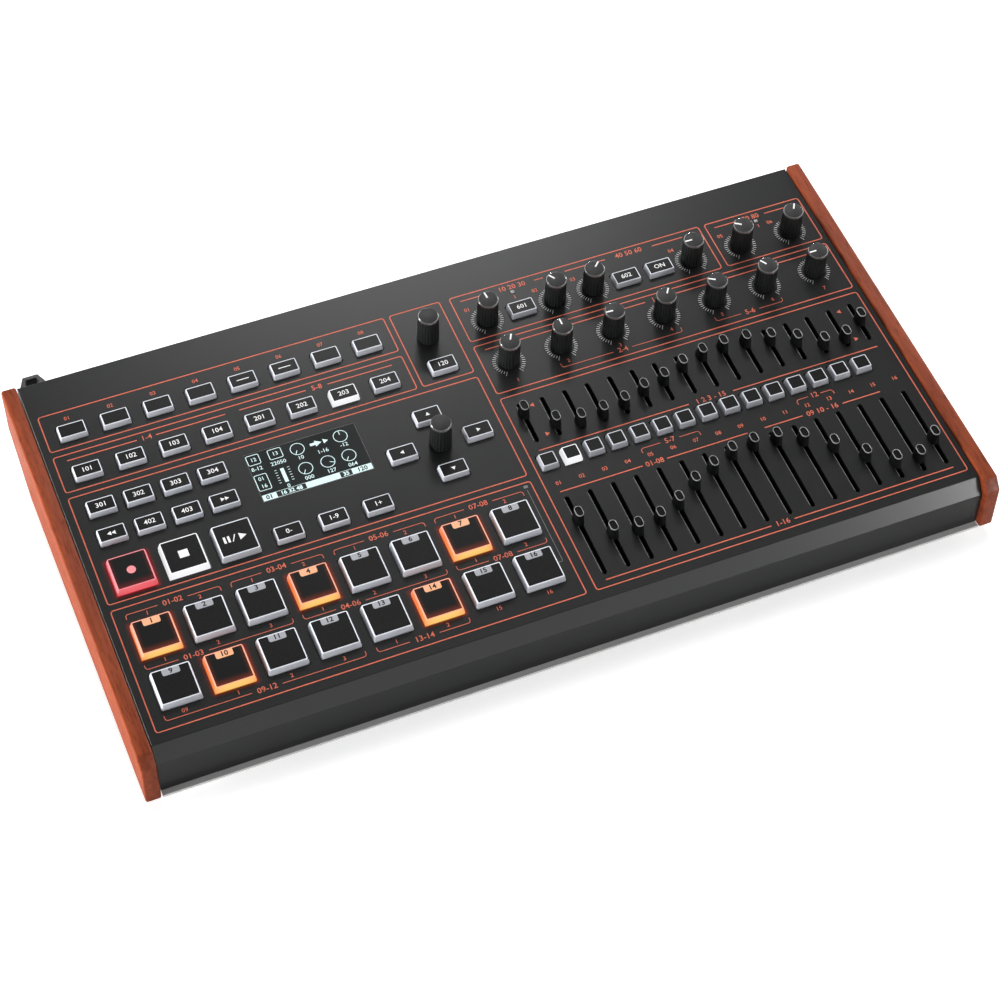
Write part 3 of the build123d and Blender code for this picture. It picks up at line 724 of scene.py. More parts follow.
# %% Captions on the steel
SMALL_CAPTION = 3.2
HEADING_CAPTIONS = (
    ("1-4", -163.6, 169.2), ("5-8", -73.9, 169.2), ("10 20 30", 43.8, 196.0), ("40 50 60", 110.6, 196.0),
    ("70 80", 182.2, 196.0), ("1-7", 111.5, 161.7), ("1 2 3 - 15", 110.7, 92.5), ("01-08", 67.3, 65.4),
    ("09 10 - 16", 160.6, 65.4), ("1-16", 111.2, 9.6),
)
PAD_CAPTIONS = (
    (69.8, ("1", "2", "1", "2", "1", "2", "1", "2")),
    (42.3, ("1", "2", "3", "1", "2", "3", "1", "2")),
    (12.7, ("09", "1", "2", "3", "1", "2", "15", "16")),
)
ROW_CAPTION_S = 194.6
CHANNEL_CAPTION_S = 70.6
KNOB_CAPTION_S, BRACKETED_CAPTION_S = 137.6, 140.2
TOP_KNOBS = ("wave_knob_1", "wave_knob_2", "filter_knob_1", "filter_knob_2",
             "volume_knob_1", "volume_knob_2")
TOP_KNOB_SHIFT = (-7.4, 9.6)
SIDE_MARK_X, SIDE_MARK_S, SIDE_MARK_RADIUS = (24.0, 197.5), (120.2, 100.8), 1.5
LAMP_X, LAMP_S = (42.85, 183.8), 192.6
LAMP_CAPTION_S = LAMP_S - 3.6


def triangle(shape, x, s, radius, turn, height=INK_HEIGHT):
    """A solid triangle that points up the panel, turned clockwise by degrees."""
    place = Matrix.Translation((x, s, height)) @ Matrix.Rotation(-radians(turn), 4, "Z")
    bmesh.ops.create_circle(shape, cap_ends=True, radius=radius, segments=3, matrix=place)


for text, x, s in HEADING_CAPTIONS:
    digits(caption_print, text, x, s, CAPTION_SIZE)
for k, (x, _) in enumerate(upper_row, start=1):
    digits(caption_print, f"{k:02}", x, ROW_CAPTION_S, SMALL_CAPTION)
for s, figures in PAD_CAPTIONS:
    for figure, (x, _) in zip(figures, pad_places):
        digits(caption_print, figure, x, s, SMALL_CAPTION)
for k, (x, s) in enumerate(row(FIRST_COLUMN_X, COLUMN_PITCH, CHANNELS, CHANNEL_CAPTION_S), start=1):
    digits(caption_print, f"{k:02}", x, s, SMALL_CAPTION)
for k in range(1, 8):
    x, _ = knob_place(f"tuning_knob_{k}")
    digits(caption_print, str(k), x, KNOB_CAPTION_S if k in (1, 7) else BRACKETED_CAPTION_S, SMALL_CAPTION)
for k, name in enumerate(TOP_KNOBS, start=1):
    x, s = knob_place(name)
    digits(caption_print, f"{k:02}", x + TOP_KNOB_SHIFT[0], s + TOP_KNOB_SHIFT[1], SMALL_CAPTION)
for x in LAMP_X:
    digits(caption_print, "1", x, LAMP_CAPTION_S, SMALL_CAPTION)
for x in SIDE_MARK_X:
    for s, turn in zip(SIDE_MARK_S, (-90, 90)):
        triangle(caption_print, x, s, SIDE_MARK_RADIUS, turn)
captions = add_piece("caption_print", face_up(caption_print), orange_ink, "case")
print("caption faces:", len(captions.data.polygons))

# %% [markdown]
# ## Two small lamps
# Beside two groups of knobs sits a small square lamp. It is off, so only its clear lens shows: a flat
# cube with eased edges that stands a little proud of the steel.

# %% Lamp lenses
LAMP_SIZE, LAMP_THICKNESS, LAMP_LIFT, LAMP_EASE = 1.9, 0.3, 0.1, 0.08

lamp_lenses = bmesh.new()
for x in LAMP_X:
    place = Matrix.Translation((x, LAMP_S, LAMP_LIFT))
    size = Matrix.Diagonal((LAMP_SIZE, LAMP_SIZE, LAMP_THICKNESS, 1))
    bmesh.ops.create_cube(lamp_lenses, size=1, matrix=place @ size)
bmesh.ops.bevel(lamp_lenses, geom=list(lamp_lenses.edges), offset=LAMP_EASE, offset_type="OFFSET",
                segments=2, profile=0.5, affect="EDGES", material=-1)
add_piece("lamp_lenses", lamp_lenses, lamp_finish, "case")
print("lamp lenses:", len(LAMP_X))

# %% [markdown]
# ## The mark beside the pads
# At the corner of the pads' frame a small grey window is printed, and a thin grey line leads from it
# down to the last pads. Both are flat, so the helpers for printed lines draw them.

# %% Mark beside the pads
MARK_X, MARK_S = 1.25, 74.2
MARK_SIZE = (2.2, 1.6)
MARK_LINE, MARK_LINE_RADIUS = 0.3, 0.8
MARK_LINE_HIGH, MARK_LINE_LOW, MARK_LINE_FOOT = 72.2, 27.0, 2.6

mark_print = bmesh.new()
bar(mark_print, (MARK_X - MARK_SIZE[0] / 2, MARK_S), (MARK_X + MARK_SIZE[0] / 2, MARK_S), MARK_SIZE[1])
down_to_pads = [(MARK_X, MARK_LINE_HIGH), (MARK_X, MARK_LINE_LOW), (MARK_X - MARK_LINE_FOOT, MARK_LINE_LOW)]
line(mark_print, down_to_pads, MARK_LINE, MARK_LINE_RADIUS)
add_piece("mark_print", face_up(mark_print), grey_ink, "case")
print("mark line, mm:", MARK_LINE_HIGH - MARK_LINE_LOW)

# %% [markdown]
# ## Keys
# A key is a translucent grey cap with a glossy black inset. The cap starts as a cube, tapers to its
# top, gets its corners and rims bevelled, and then a shallow recess for the inset. Drawing one and
# copying it is quicker, and more even, than drawing sixty-nine.

# %% Helpers for keys
KEY_FOOT_DEPTH = 3.0
RECESS, RECESS_SLOPE = 0.22, 0.03
RIM_BEVEL = 0.28
PLATE_GAP, PLATE_EASE = 0.06, 0.05


def map_from_above(shape, width, length):
    """A UV map that looks straight down, 0 to 1 across a key about the origin."""
    layer = shape.loops.layers.uv.new("plan")
    for face in shape.faces:
        for loop in face.loops:
            loop[layer].uv = (loop.vert.co.x / width + 0.5, loop.vert.co.y / length + 0.5)
    return shape


def upright_edges(shape, least):
    """Edges whose ends differ in height by more than the least."""
    return [edge for edge in shape.edges if abs(edge.verts[0].co.z - edge.verts[1].co.z) > least]


def top_face(shape):
    """The highest face of a shape."""
    return max(shape.faces, key=lambda face: face.calc_center_median().z)


def key_cap(foot, top, height, corner, rim):
    """A tapered cap about the origin, hollowed by a shallow recess."""
    shape = bmesh.new()
    whole = height + KEY_FOOT_DEPTH
    middle = Matrix.Translation((0, 0, height - whole / 2))
    bmesh.ops.create_cube(shape, size=1, matrix=middle @ Matrix.Diagonal((*foot, whole, 1)))
    bmesh.ops.bisect_plane(shape, geom=[*shape.verts, *shape.edges, *shape.faces],
                           plane_co=(0, 0, 0), plane_no=(0, 0, 1))
    crown = [vert for vert in shape.verts if vert.co.z > height - 0.01]
    bmesh.ops.scale(shape, vec=(top[0] / foot[0], top[1] / foot[1], 1), verts=crown)
    bmesh.ops.bevel(shape, geom=upright_edges(shape, 0.5), offset=corner, offset_type="OFFSET", segments=3,
                    profile=0.5, affect="EDGES", material=-1)
    bmesh.ops.bevel(shape, geom=list(top_face(shape).edges), offset=RIM_BEVEL, offset_type="OFFSET",
                    segments=2, profile=0.5, affect="EDGES", material=-1)
    bmesh.ops.inset_region(shape, faces=[top_face(shape)], thickness=rim - RIM_BEVEL, depth=0)
    lid = [min(shape.faces, key=lambda face: (face.calc_center_median() - Vector((0, 0, height))).length)]
    bmesh.ops.inset_region(shape, faces=lid, thickness=RECESS_SLOPE, depth=-RECESS)
    bmesh.ops.recalc_face_normals(shape, faces=shape.faces)
    return map_from_above(shape, *foot)


def inset_plate(size, height, corner):
    """The black inset, a thin plate that stands a hair below the rim."""
    shape = bmesh.new()
    floor = height - RECESS + 0.01
    thick = RECESS - PLATE_GAP
    place = Matrix.Translation((0, 0, floor + thick / 2)) @ Matrix.Diagonal((*size, thick, 1))
    bmesh.ops.create_cube(shape, size=1, matrix=place)
    bmesh.ops.bevel(shape, geom=upright_edges(shape, thick / 2), offset=corner, offset_type="OFFSET",
                    segments=3, profile=0.5, affect="EDGES", material=-1)
    bmesh.ops.bevel(shape, geom=list(top_face(shape).edges), offset=PLATE_EASE, offset_type="OFFSET",
                    segments=1, profile=0.5, affect="EDGES", material=-1)
    return map_from_above(shape, *size)


def pick(places, wanted):
    """Splits places into those whose index is wanted and the rest."""
    chosen = [place for k, place in enumerate(places) if k in wanted]
    rest = [place for k, place in enumerate(places) if k not in wanted]
    return chosen, rest


# %% [markdown]
# ## Lit keys
# A lit cap glows from inside. The lamp sits under its front half, so the light is hottest at the
# middle of the front side and cooler at the back, and the rim on top is paler. The plan map of the
# key tells the shader where it is. The steel is too dark to show the little light that falls on it,
# so the spill round a key is a thin see-through film whose glow fades outwards.

# %% Glow finishes
BODY_UNDER_GLOW = shade(0.16, KEY_TINT)


def glowing(name, cool, hot, rim, strength):
    """A lit cap, from the cool colour at its back to the hot one at the middle of its front."""
    finish = Finish(name, Base_Color=BODY_UNDER_GLOW, Roughness=0.4, Emission_Strength=strength)
    across, along = finish.plan()
    heat = (0.5 - along * 0.5) * (1 - across * across * 0.55)
    top = finish.between(finish.facing(normal), 0.75, 0.95)
    side = finish.mix(finish.between(heat, 0.1, 0.95), cool, hot)
    finish.feed("Emission Color", finish.mix(top, side, rim))
    return finish.material


def glow_seen_through(name, colour):
    """A dark inset with light leaking in at its edges."""
    finish = Finish(name, Base_Color=shade(0.008), Roughness=0.3, Specular_IOR_Level=0.2,
                    Emission_Strength=1.0)
    across, along = finish.plan()
    side = finish.between(across * across, 0.55, 1.2)
    front = finish.between(0 - along, 0.55, 1.15)
    back = finish.between(along, 0.8, 1.3)
    leak = side * 0.7 + front + back * 0.4
    finish.feed("Emission Color", finish.mix(leak, shade(0), colour))
    return finish.material


AMBER_COOL, AMBER_HOT, AMBER_RIM = (1.0, 0.21, 0.035, 1), (1.0, 0.56, 0.09, 1), (1.0, 0.34, 0.16, 1)
TAB_COOL, TAB_HOT = (1.0, 0.36, 0.08, 1), (1.0, 0.42, 0.10, 1)
RED_COOL, RED_HOT, RED_RIM = (0.62, 0.016, 0.024, 1), (0.80, 0.05, 0.07, 1), (0.85, 0.15, 0.17, 1)
RED_MARK = (0.9, 0.13, 0.14, 1)
WHITE_COOL, WHITE_HOT = (0.80, 0.81, 0.83, 1), (0.95, 0.95, 0.97, 1)

amber_finish = glowing("key_lit_amber", AMBER_COOL, AMBER_HOT, AMBER_RIM, 0.9)
amber_tab = glowing("tab_lit_amber", TAB_COOL, TAB_HOT, TAB_COOL, 0.85)
red_finish = glowing("key_lit_red", RED_COOL, RED_HOT, RED_RIM, 0.95)
white_finish = glowing("key_lit_white", WHITE_COOL, WHITE_HOT, shade(1), 0.9)
amber_plate = glow_seen_through("plate_over_amber", (0.16, 0.022, 0.005, 1))
red_plate = glow_seen_through("plate_over_red", (0.13, 0.005, 0.007, 1))
red_mark = glowing("mark_red", RED_MARK, RED_MARK, RED_MARK, 1.0)
legend_finish = ink("legend_white", shade(0.80), shade(0.92))
print("glowing finishes:", amber_finish.name, red_finish.name, white_finish.name)

# %% [markdown]
# ## Three sizes of key
# There are small oblong keys, small square ones and large pads, and the three transport keys are
# moulded like pads. The places are split into lit and dark ones first, so that each group is one
# piece with one finish.

# %% Caps and insets
KEY_FOOT, KEY_TOP, KEY_HEIGHT = (14.4, 9.0), (13.6, 8.0), 3.0
SELECT_FOOT, SELECT_TOP = (9.3, 9.4), (8.0, 7.8)
PAD_FOOT, PAD_TOP, PAD_HEIGHT = (20.4, 20.4), (19.0, 19.0), 3.5
KEY_RIM, PAD_RIM = 0.48, 0.55
KEY_CORNER, PAD_CORNER = 0.7, 0.9
KEY_PLATE_CORNER, PAD_PLATE_CORNER = 0.3, 0.4
TRANSPORT = (
    ("record", red_finish, red_plate),
    ("stop", white_finish, plate_finish),
    ("play", key_finish, plate_finish),
)


def small_cap():
    return key_cap(KEY_FOOT, KEY_TOP, KEY_HEIGHT, KEY_CORNER, KEY_RIM)


def select_cap():
    return key_cap(SELECT_FOOT, SELECT_TOP, KEY_HEIGHT, KEY_CORNER, KEY_RIM)


def pad_cap():
    return key_cap(PAD_FOOT, PAD_TOP, PAD_HEIGHT, PAD_CORNER, PAD_RIM)


def small_plate(top):
    return inset_plate([side - 2 * KEY_RIM for side in top], KEY_HEIGHT, KEY_PLATE_CORNER)


def pad_plate():
    return inset_plate([side - 2 * PAD_RIM for side in PAD_TOP], PAD_HEIGHT, PAD_PLATE_CORNER)


def add_keys(name, shape, finish, body, replaces=()):
    add_piece(name, shape, finish, body, replaces)


lit_small, dark_small = pick(small_keys, (LIT_SMALL_KEY,))
add_keys("function_caps", repeat(small_cap(), dark_small), key_finish, "function_keys", ["function_keys"])
add_keys("function_cap_lit", repeat(small_cap(), lit_small), white_finish, "function_keys")
add_keys("function_insets", repeat(small_plate(KEY_TOP), small_keys), plate_finish, "function_keys")
for (name, finish, _), place in zip(TRANSPORT, transport_places):
    add_keys(f"{name}_cap", repeat(pad_cap(), [place]), finish, "function_keys")
for (name, _, finish), place in zip(TRANSPORT, transport_places):
    add_keys(f"{name}_inset", repeat(pad_plate(), [place]), finish, "function_keys")

lit_select, dark_select = pick(select_places, (LIT_SELECT_KEY,))
add_keys("select_caps", repeat(select_cap(), dark_select), select_finish, "select_keys", ["select_keys"])
add_keys("select_cap_lit", repeat(select_cap(), lit_select), white_finish, "select_keys")
add_keys("select_insets", repeat(small_plate(SELECT_TOP), select_places), plate_finish, "select_keys")

lit_pads, dark_pads = pick(pad_places, LIT_PADS)
add_keys("pad_caps", repeat(pad_cap(), dark_pads), pad_finish, "pad_keys", ["pad_keys"])
add_keys("pad_caps_lit", repeat(pad_cap(), lit_pads), amber_finish, "pad_keys")
add_keys("pad_insets", repeat(pad_plate(), dark_pads), plate_finish, "pad_keys")
add_keys("pad_insets_lit", repeat(pad_plate(), lit_pads), amber_plate, "pad_keys")
print("lit keys:", len(lit_small) + len(lit_select) + len(lit_pads), "and two transport keys")

# %% [markdown]
# ## Number tabs on the pads
# Each pad has a small tab at its back edge, moulded with the cap, that carries the pad's number.

# %% Number tabs
TAB_WIDTH, TAB_DEPTH = 8.6, 3.7
TAB_SLANT = 0.8
TAB_FIGURE, TAB_FIGURE_LIFT = 3.9, 0.2


def number_tab():
    """A shallow tab whose front corners are cut off."""
    shape = bmesh.new()
    back = PAD_TOP[1] / 2 - PAD_RIM + 0.1
    thick = RECESS - PLATE_GAP
    top = PAD_HEIGHT - 0.02
    place = Matrix.Translation((0, back - TAB_DEPTH / 2, top - thick / 2))
    bmesh.ops.create_cube(shape, size=1, matrix=place @ Matrix.Diagonal((TAB_WIDTH, TAB_DEPTH, thick, 1)))
    front = [edge for edge in upright_edges(shape, thick / 2) if edge.verts[0].co.y < back - TAB_DEPTH / 2]
    bmesh.ops.bevel(shape, geom=front, offset=TAB_SLANT, offset_type="OFFSET", segments=2,
                    profile=0.5, affect="EDGES", material=-1)
    return map_from_above(shape, *PAD_FOOT)


add_keys("pad_tabs", repeat(number_tab(), dark_pads), tab_finish, "pad_keys")
add_keys("pad_tabs_lit", repeat(number_tab(), lit_pads), amber_tab, "pad_keys")
pad_figures = bmesh.new()
for k, (x, s) in enumerate(pad_places, start=1):
    middle = s + PAD_TOP[1] / 2 - PAD_RIM - TAB_DEPTH / 2
    digits(pad_figures, str(k), x, middle + TAB_FIGURE_LIFT, TAB_FIGURE, PAD_HEIGHT + 0.01, BOLDER)
add_keys("pad_figures", face_up(pad_figures), dark_ink, "pad_keys")
print("tabs:", len(pad_places))

# %% [markdown]
# ## Light that spills on the steel
# The glow round a lit key is a square film just above the steel. Its alpha falls from the key's foot
# outwards, by the distance to the key's edge, so that its corners are round.

# %% Glow round the lit keys
GLOW_HEIGHT, GLOW_REACH = 0.02, 3.2
PAD_HALF = PAD_FOOT[0] / 2


def spill(name, colour, cover):
    """A film that fades from the pad's edge outwards, over the reach."""
    finish = Finish(name, Base_Color=shade(0.02), Roughness=0.5, Emission_Color=colour, Emission_Strength=1.0)
    gaps = []
    for way in finish.plan():
        outside = (finish.maths("ABSOLUTE", way) * (PAD_HALF + GLOW_REACH) - PAD_HALF) / GLOW_REACH
        gaps.append(finish.maths("MAXIMUM", outside, 0.0))
    far = (gaps[0] * gaps[0] + gaps[1] * gaps[1]) ** 0.5
    near = 1 - finish.between(far, 0.0, 1.0)
    finish.feed("Alpha", near * near * cover)
    return finish.material


def film():
    """A square sheet as large as a pad and the reach round it."""
    width = 2 * (PAD_HALF + GLOW_REACH)
    shape = bmesh.new()
    place = Matrix.Translation((0, 0, GLOW_HEIGHT)) @ Matrix.Scale(width, 4)
    bmesh.ops.create_grid(shape, x_segments=1, y_segments=1, size=0.5, matrix=place)
    return map_from_above(shape, width, width)


amber_spill = spill("spill_amber", (0.48, 0.030, 0.006, 1), 0.28)
red_spill = spill("spill_red", (0.42, 0.005, 0.008, 1), 0.30)
add_piece("pad_spill", repeat(film(), lit_pads), amber_spill, "case")
add_piece("record_spill", repeat(film(), transport_places[:1]), red_spill, "case")
print("films:", len(lit_pads) + 1)

# %% [markdown]
# ## Legends on the insets
# The function keys carry plain numbers and the usual signs of a tape deck. They are white, and lie a
# hair above the inset.

# %% Key legends
LEGEND_SIZE = 3.9
LEGEND_HEIGHT = KEY_HEIGHT - PLATE_GAP + 0.04
PAD_LEGEND_HEIGHT = PAD_HEIGHT - PLATE_GAP + 0.04
SIGN_RADIUS = 1.35
DASH = (6.4, 0.5)
RECORD_RADIUS = 2.2
STOP_HALF, STOP_WIDTH = 2.4, 4.4
PAUSE_SHIFTS, PAUSE_HALF, PAUSE_WIDTH = (-5.4, -3.3), 1.9, 1.2
SLASH_ENDS, SLASH_WIDTH = ((-1.7, -2.0), (0.2, 2.0)), 0.5
PLAY_SHIFT, PLAY_RADIUS = 3.2, 2.4

function_legends = bmesh.new()
for text, (x, s) in zip(("101", "102", "103", "104", "201", "202", "203", "204"), lower_row):
    digits(function_legends, text, x, s, LEGEND_SIZE, LEGEND_HEIGHT)
for text, (x, s) in zip(("301", "302", "303", "304", "", "402", "403", ""), short_rows):
    digits(function_legends, text, x, s, LEGEND_SIZE, LEGEND_HEIGHT)
for x, s in upper_row[4:6]:
    bar(function_legends, (x - DASH[0] / 2, s), (x + DASH[0] / 2, s), DASH[1], LEGEND_HEIGHT)
for (x, s), turn in ((short_rows[4], -90), (short_rows[7], 90)):
    for step in (-1.1, 1.1):
        triangle(function_legends, x + step, s, SIGN_RADIUS, turn, LEGEND_HEIGHT)
for (x, s), turn in zip(arrow_keys, (0, -90, 90, 180)):
    triangle(function_legends, x, s, SIGN_RADIUS, turn, LEGEND_HEIGHT)
for text, (x, s) in zip(("120", "0-", "1-9", "1+", "601", "602", "ON"), [*tap_key, *menu_keys, *wave_keys]):
    digits(function_legends, text, x, s, LEGEND_SIZE, LEGEND_HEIGHT)

(_, _), (stop_x, stop_s), (play_x, play_s) = transport_places
stop_ends = [(stop_x + side * STOP_HALF, stop_s) for side in (-1, 1)]
bar(function_legends, *stop_ends, STOP_WIDTH, PAD_LEGEND_HEIGHT)
for shift in PAUSE_SHIFTS:
    pause_ends = [(play_x + shift, play_s + side * PAUSE_HALF) for side in (-1, 1)]
    bar(function_legends, *pause_ends, PAUSE_WIDTH, PAD_LEGEND_HEIGHT)
slash_ends = [(play_x + across, play_s + along) for across, along in SLASH_ENDS]
bar(function_legends, *slash_ends, SLASH_WIDTH, PAD_LEGEND_HEIGHT)
triangle(function_legends, play_x + PLAY_SHIFT, play_s, PLAY_RADIUS, 90, PAD_LEGEND_HEIGHT)
add_piece("function_legends", face_up(function_legends), legend_finish, "function_keys")

record_mark = bmesh.new()
bmesh.ops.create_circle(record_mark, cap_ends=True, radius=RECORD_RADIUS, segments=24,
                        matrix=Matrix.Translation((*transport_places[0], PAD_LEGEND_HEIGHT)))
map_from_above(record_mark, *PAD_FOOT)
add_piece("record_mark", face_up(record_mark), red_mark, "function_keys")
print("legend height over the sheet, mm:", round(LEGEND_HEIGHT, 2))

# %% [markdown]
# ## Knobs
# A knob is turned on a lathe in the real world, and here too: its side view is spun round its axis.
# The ribs come afterwards, by pressing every other group of points inwards. The grey top is a
# separate disc, with a glossy ring round it that catches the light at both sides.

# %% Knob shapes
KNOB_HEIGHT = 16.6
ENCODER_HEIGHT = 18.0
KNOB_RADIUS = 5.75
KNOB_TAPER = 0.3
CROWN_RADIUS = 5.3
CROWN_TOP = 4.9
CROWN_HEIGHT = 1.2
RIBS = 22
POINTS_PER_RIB = 4
RIB_DEPTH = 0.42
SHAFT_RADIUS = 3.0
SHAFT_FOOT, KNOB_FOOT, SHOULDER_DROP = -4.0, 0.5, 1.4
POINTER_INNER, POINTER_WIDTH, POINTER_THICKNESS = 1.1, 0.8, 0.12
POINTERS = {
    "wave_knob_1": -4, "wave_knob_2": -34, "filter_knob_1": 45, "filter_knob_2": -88,
    "volume_knob_1": -57, "volume_knob_2": 30, "tuning_knob_1": 28, "tuning_knob_2": 0,
    "tuning_knob_3": -86, "tuning_knob_4": 35, "tuning_knob_5": -60, "tuning_knob_6": -33,
    "tuning_knob_7": -90,
}


def lathe(profile, steps):
    """Spins a side view of (radius, height) points round the axis."""
    shape = bmesh.new()
    verts = [shape.verts.new((radius, 0, height)) for radius, height in profile]
    edges = [shape.edges.new(pair) for pair in zip(verts, verts[1:])]
    bmesh.ops.spin(shape, geom=[*verts, *edges], cent=(0, 0, 0), axis=(0, 0, 1), angle=2 * pi,
                   steps=steps, use_merge=True)
    bmesh.ops.remove_doubles(shape, verts=shape.verts, dist=0.001)
    bmesh.ops.recalc_face_normals(shape, faces=shape.faces)
    return shape


def knob_skirt(height):
    """Ribbed skirt with a smooth shoulder, and the shaft below it."""
    shoulder = height - CROWN_HEIGHT - SHOULDER_DROP
    crown = height - CROWN_HEIGHT
    upper = KNOB_RADIUS - KNOB_TAPER
    profile = [
        (0, SHAFT_FOOT), (SHAFT_RADIUS, SHAFT_FOOT), (SHAFT_RADIUS, KNOB_FOOT),
        (KNOB_RADIUS - 0.25, KNOB_FOOT), (KNOB_RADIUS, KNOB_FOOT + 0.3),
        (upper, shoulder), (upper, shoulder + 0.25), (CROWN_RADIUS + 0.1, crown - 0.1),
        (CROWN_RADIUS, crown), (CROWN_TOP + 0.1, height - 0.25), (0, height - 0.25),
    ]
    shape = lathe(profile, RIBS * POINTS_PER_RIB)
    for vert in shape.verts:
        if 0.4 < vert.co.z < shoulder + 0.1 and vert.co.xy.length > SHAFT_RADIUS + 1:
            turn = vert.co.xy.angle_signed(Vector((1, 0))) / (2 * pi) * RIBS
            dip = RIB_DEPTH * (0.5 - 0.5 * cos(2 * pi * turn))
            vert.co.xy *= 1 - dip / vert.co.xy.length
    return shape


def knob_ring(height):
    """The glossy bevel round the top, cut at 45 degrees."""
    profile = [(CROWN_RADIUS, height - CROWN_HEIGHT), (CROWN_RADIUS, height - 0.45),
               (CROWN_TOP, height - 0.05), (CROWN_TOP - 0.1, height - 0.2),
               (CROWN_TOP - 0.1, height - CROWN_HEIGHT)]
    return lathe([*profile, profile[0]], 64)


def knob_disc(height):
    """The grey top inside the ring, with an eased edge."""
    profile = [(0, height - 0.3), (CROWN_TOP - 0.1, height - 0.3), (CROWN_TOP - 0.1, height - 0.1),
               (CROWN_TOP - 0.2, height - 0.05), (0, height - 0.02)]
    return lathe(profile, 48)


def pointer_bar(height, angle):
    """White line from near the middle to the rim."""
    shape = bmesh.new()
    outer = CROWN_TOP - 0.05
    middle = Matrix.Translation((0, (POINTER_INNER + outer) / 2, height))
    size = Matrix.Diagonal((POINTER_WIDTH, outer - POINTER_INNER, POINTER_THICKNESS, 1))
    turn = Matrix.Rotation(-radians(angle), 4, "Z")
    bmesh.ops.create_cube(shape, size=1, matrix=turn @ middle @ size)
    bmesh.ops.bevel(shape, geom=list(shape.edges), offset=0.03, offset_type="OFFSET", segments=1,
                    profile=0.5, affect="EDGES", material=-1)
    return shape


for body in [*POINTERS, "tempo_knob", "value_knob"]:
    place = [knob_place(body)]
    height = KNOB_HEIGHT if body in POINTERS else ENCODER_HEIGHT
    add_piece(f"{body}_skirt", repeat(knob_skirt(height), place), knob_finish, body, [body])
    add_piece(f"{body}_ring", repeat(knob_ring(height), place), rim_finish, body)
    add_piece(f"{body}_top", repeat(knob_disc(height), place), knob_cap_finish, body)
    if body in POINTERS:
        line_up = repeat(pointer_bar(height, POINTERS[body]), place)
        add_piece(f"{body}_pointer", line_up, pointer_finish, body)
print("knobs:", len(POINTERS) + 2)

# %% [markdown]
# ## Scales round the knobs
# A scale is a fan of fine white ticks over 300 degrees. The two end ticks are longer.

# %% Tick scales
TICK_INNER, TICK_OUTER, END_TICK_EXTRA = 6.8, 8.6, 0.9
TICK_WIDTH = 0.22
TICK_COUNT = 31
TICK_SWEEP = 300

tick_print = bmesh.new()
for body in POINTERS:
    x, s = knob_place(body)
    for k in range(TICK_COUNT):
        angle = radians(-TICK_SWEEP / 2 + TICK_SWEEP * k / (TICK_COUNT - 1))
        way = Vector((sin(angle), cos(angle)))
        reach = TICK_OUTER + (END_TICK_EXTRA if k in (0, TICK_COUNT - 1) else 0)
        centre = Vector((x, s))
        bar(tick_print, centre + way * TICK_INNER, centre + way * reach, TICK_WIDTH)
add_piece("tick_print", face_up(tick_print), white_ink, "case")
print("ticks:", len(POINTERS) * TICK_COUNT)

# %% [markdown]
# ## Fader caps
# A fader cap is a slim oblong tower with a dished top for the fingertip. It grows out of a circle
# that is pulled into an oblong, extruded in a few levels, and sunk at the top.

# %% Fader caps
FADER_BODY = ((4.6, 7.6, 0.5), (5.0, 8.0, 0.9), (4.4, 7.0, 4.2), (4.05, 6.2, 7.6))
FADER_CROWN = ((4.0, 6.15, 8.05), (3.88, 6.03, 8.24), (3.68, 5.83, 8.28))
FADER_DISH = ((3.46, 5.61, 8.0), (2.4, 4.3, 7.5), (1.2, 2.7, 7.35))
FADER_POINTS = 28
STEM_SIZE = (1.2, 3.2, 5.0)


def to_oblong(verts, before, after):
    """Moves a ring of points from one oblong (width, length, height) to the next."""
    grow = after[0] / before[0]
    for vert in verts:
        side = 1 if vert.co.y > 0 else -1
        end = vert.co.y - side * (before[1] - before[0]) / 2
        vert.co = (vert.co.x * grow, end * grow + side * (after[1] - after[0]) / 2, after[2])


def oblong_tower(levels):
    """An oblong column that follows levels of (width, length, height)."""
    shape = bmesh.new()
    bmesh.ops.create_circle(shape, cap_ends=True, radius=0.5, segments=FADER_POINTS,
                            matrix=Matrix.Rotation(pi / FADER_POINTS, 4, "Z"))
    lid = list(shape.faces)
    to_oblong(shape.verts, (1, 1, 0), levels[0])
    for before, after in zip(levels, levels[1:]):
        made = bmesh.ops.extrude_face_region(shape, geom=lid)
        to_oblong(verts_of(made), before, after)
        lid = faces_of(made)
    bmesh.ops.recalc_face_normals(shape, faces=shape.faces)
    return shape


def fader_body():
    """The cap with its dish, and the stem that goes down through the slot."""
    shape = oblong_tower([*FADER_BODY, (3.9, 6.05, 7.8), (3.35, 5.5, 7.7), *FADER_DISH[1:]])
    stem = Matrix.Translation((0, 0, 0.5 - STEM_SIZE[2] / 2)) @ Matrix.Diagonal((*STEM_SIZE, 1))
    bmesh.ops.create_cube(shape, size=1, matrix=stem)
    return shape


def fader_rim():
    """The lip round the dish, pale grey as a painted highlight on the glossy black rim."""
    outer = [(4.05, 6.2, 7.55), *FADER_CROWN]
    inner = [FADER_DISH[0], (3.46, 5.61, 7.65)]
    shape = oblong_tower([*outer, *inner])
    lid = [face for face in shape.faces if len(face.verts) == FADER_POINTS]
    bmesh.ops.delete(shape, geom=lid, context="FACES_ONLY")
    return shape


for k in range(1, CHANNELS + 1):
    for kind in ("pan", "volume"):
        body = f"{kind}_fader_{k:02}"
        place = [fader_place(body)]
        add_piece(f"{body}_cap", repeat(fader_body(), place), fader_finish, body, [body])
        add_piece(f"{body}_lip", repeat(fader_rim(), place), fader_lip_highlight_finish, body)
print("faders:", 2 * CHANNELS)
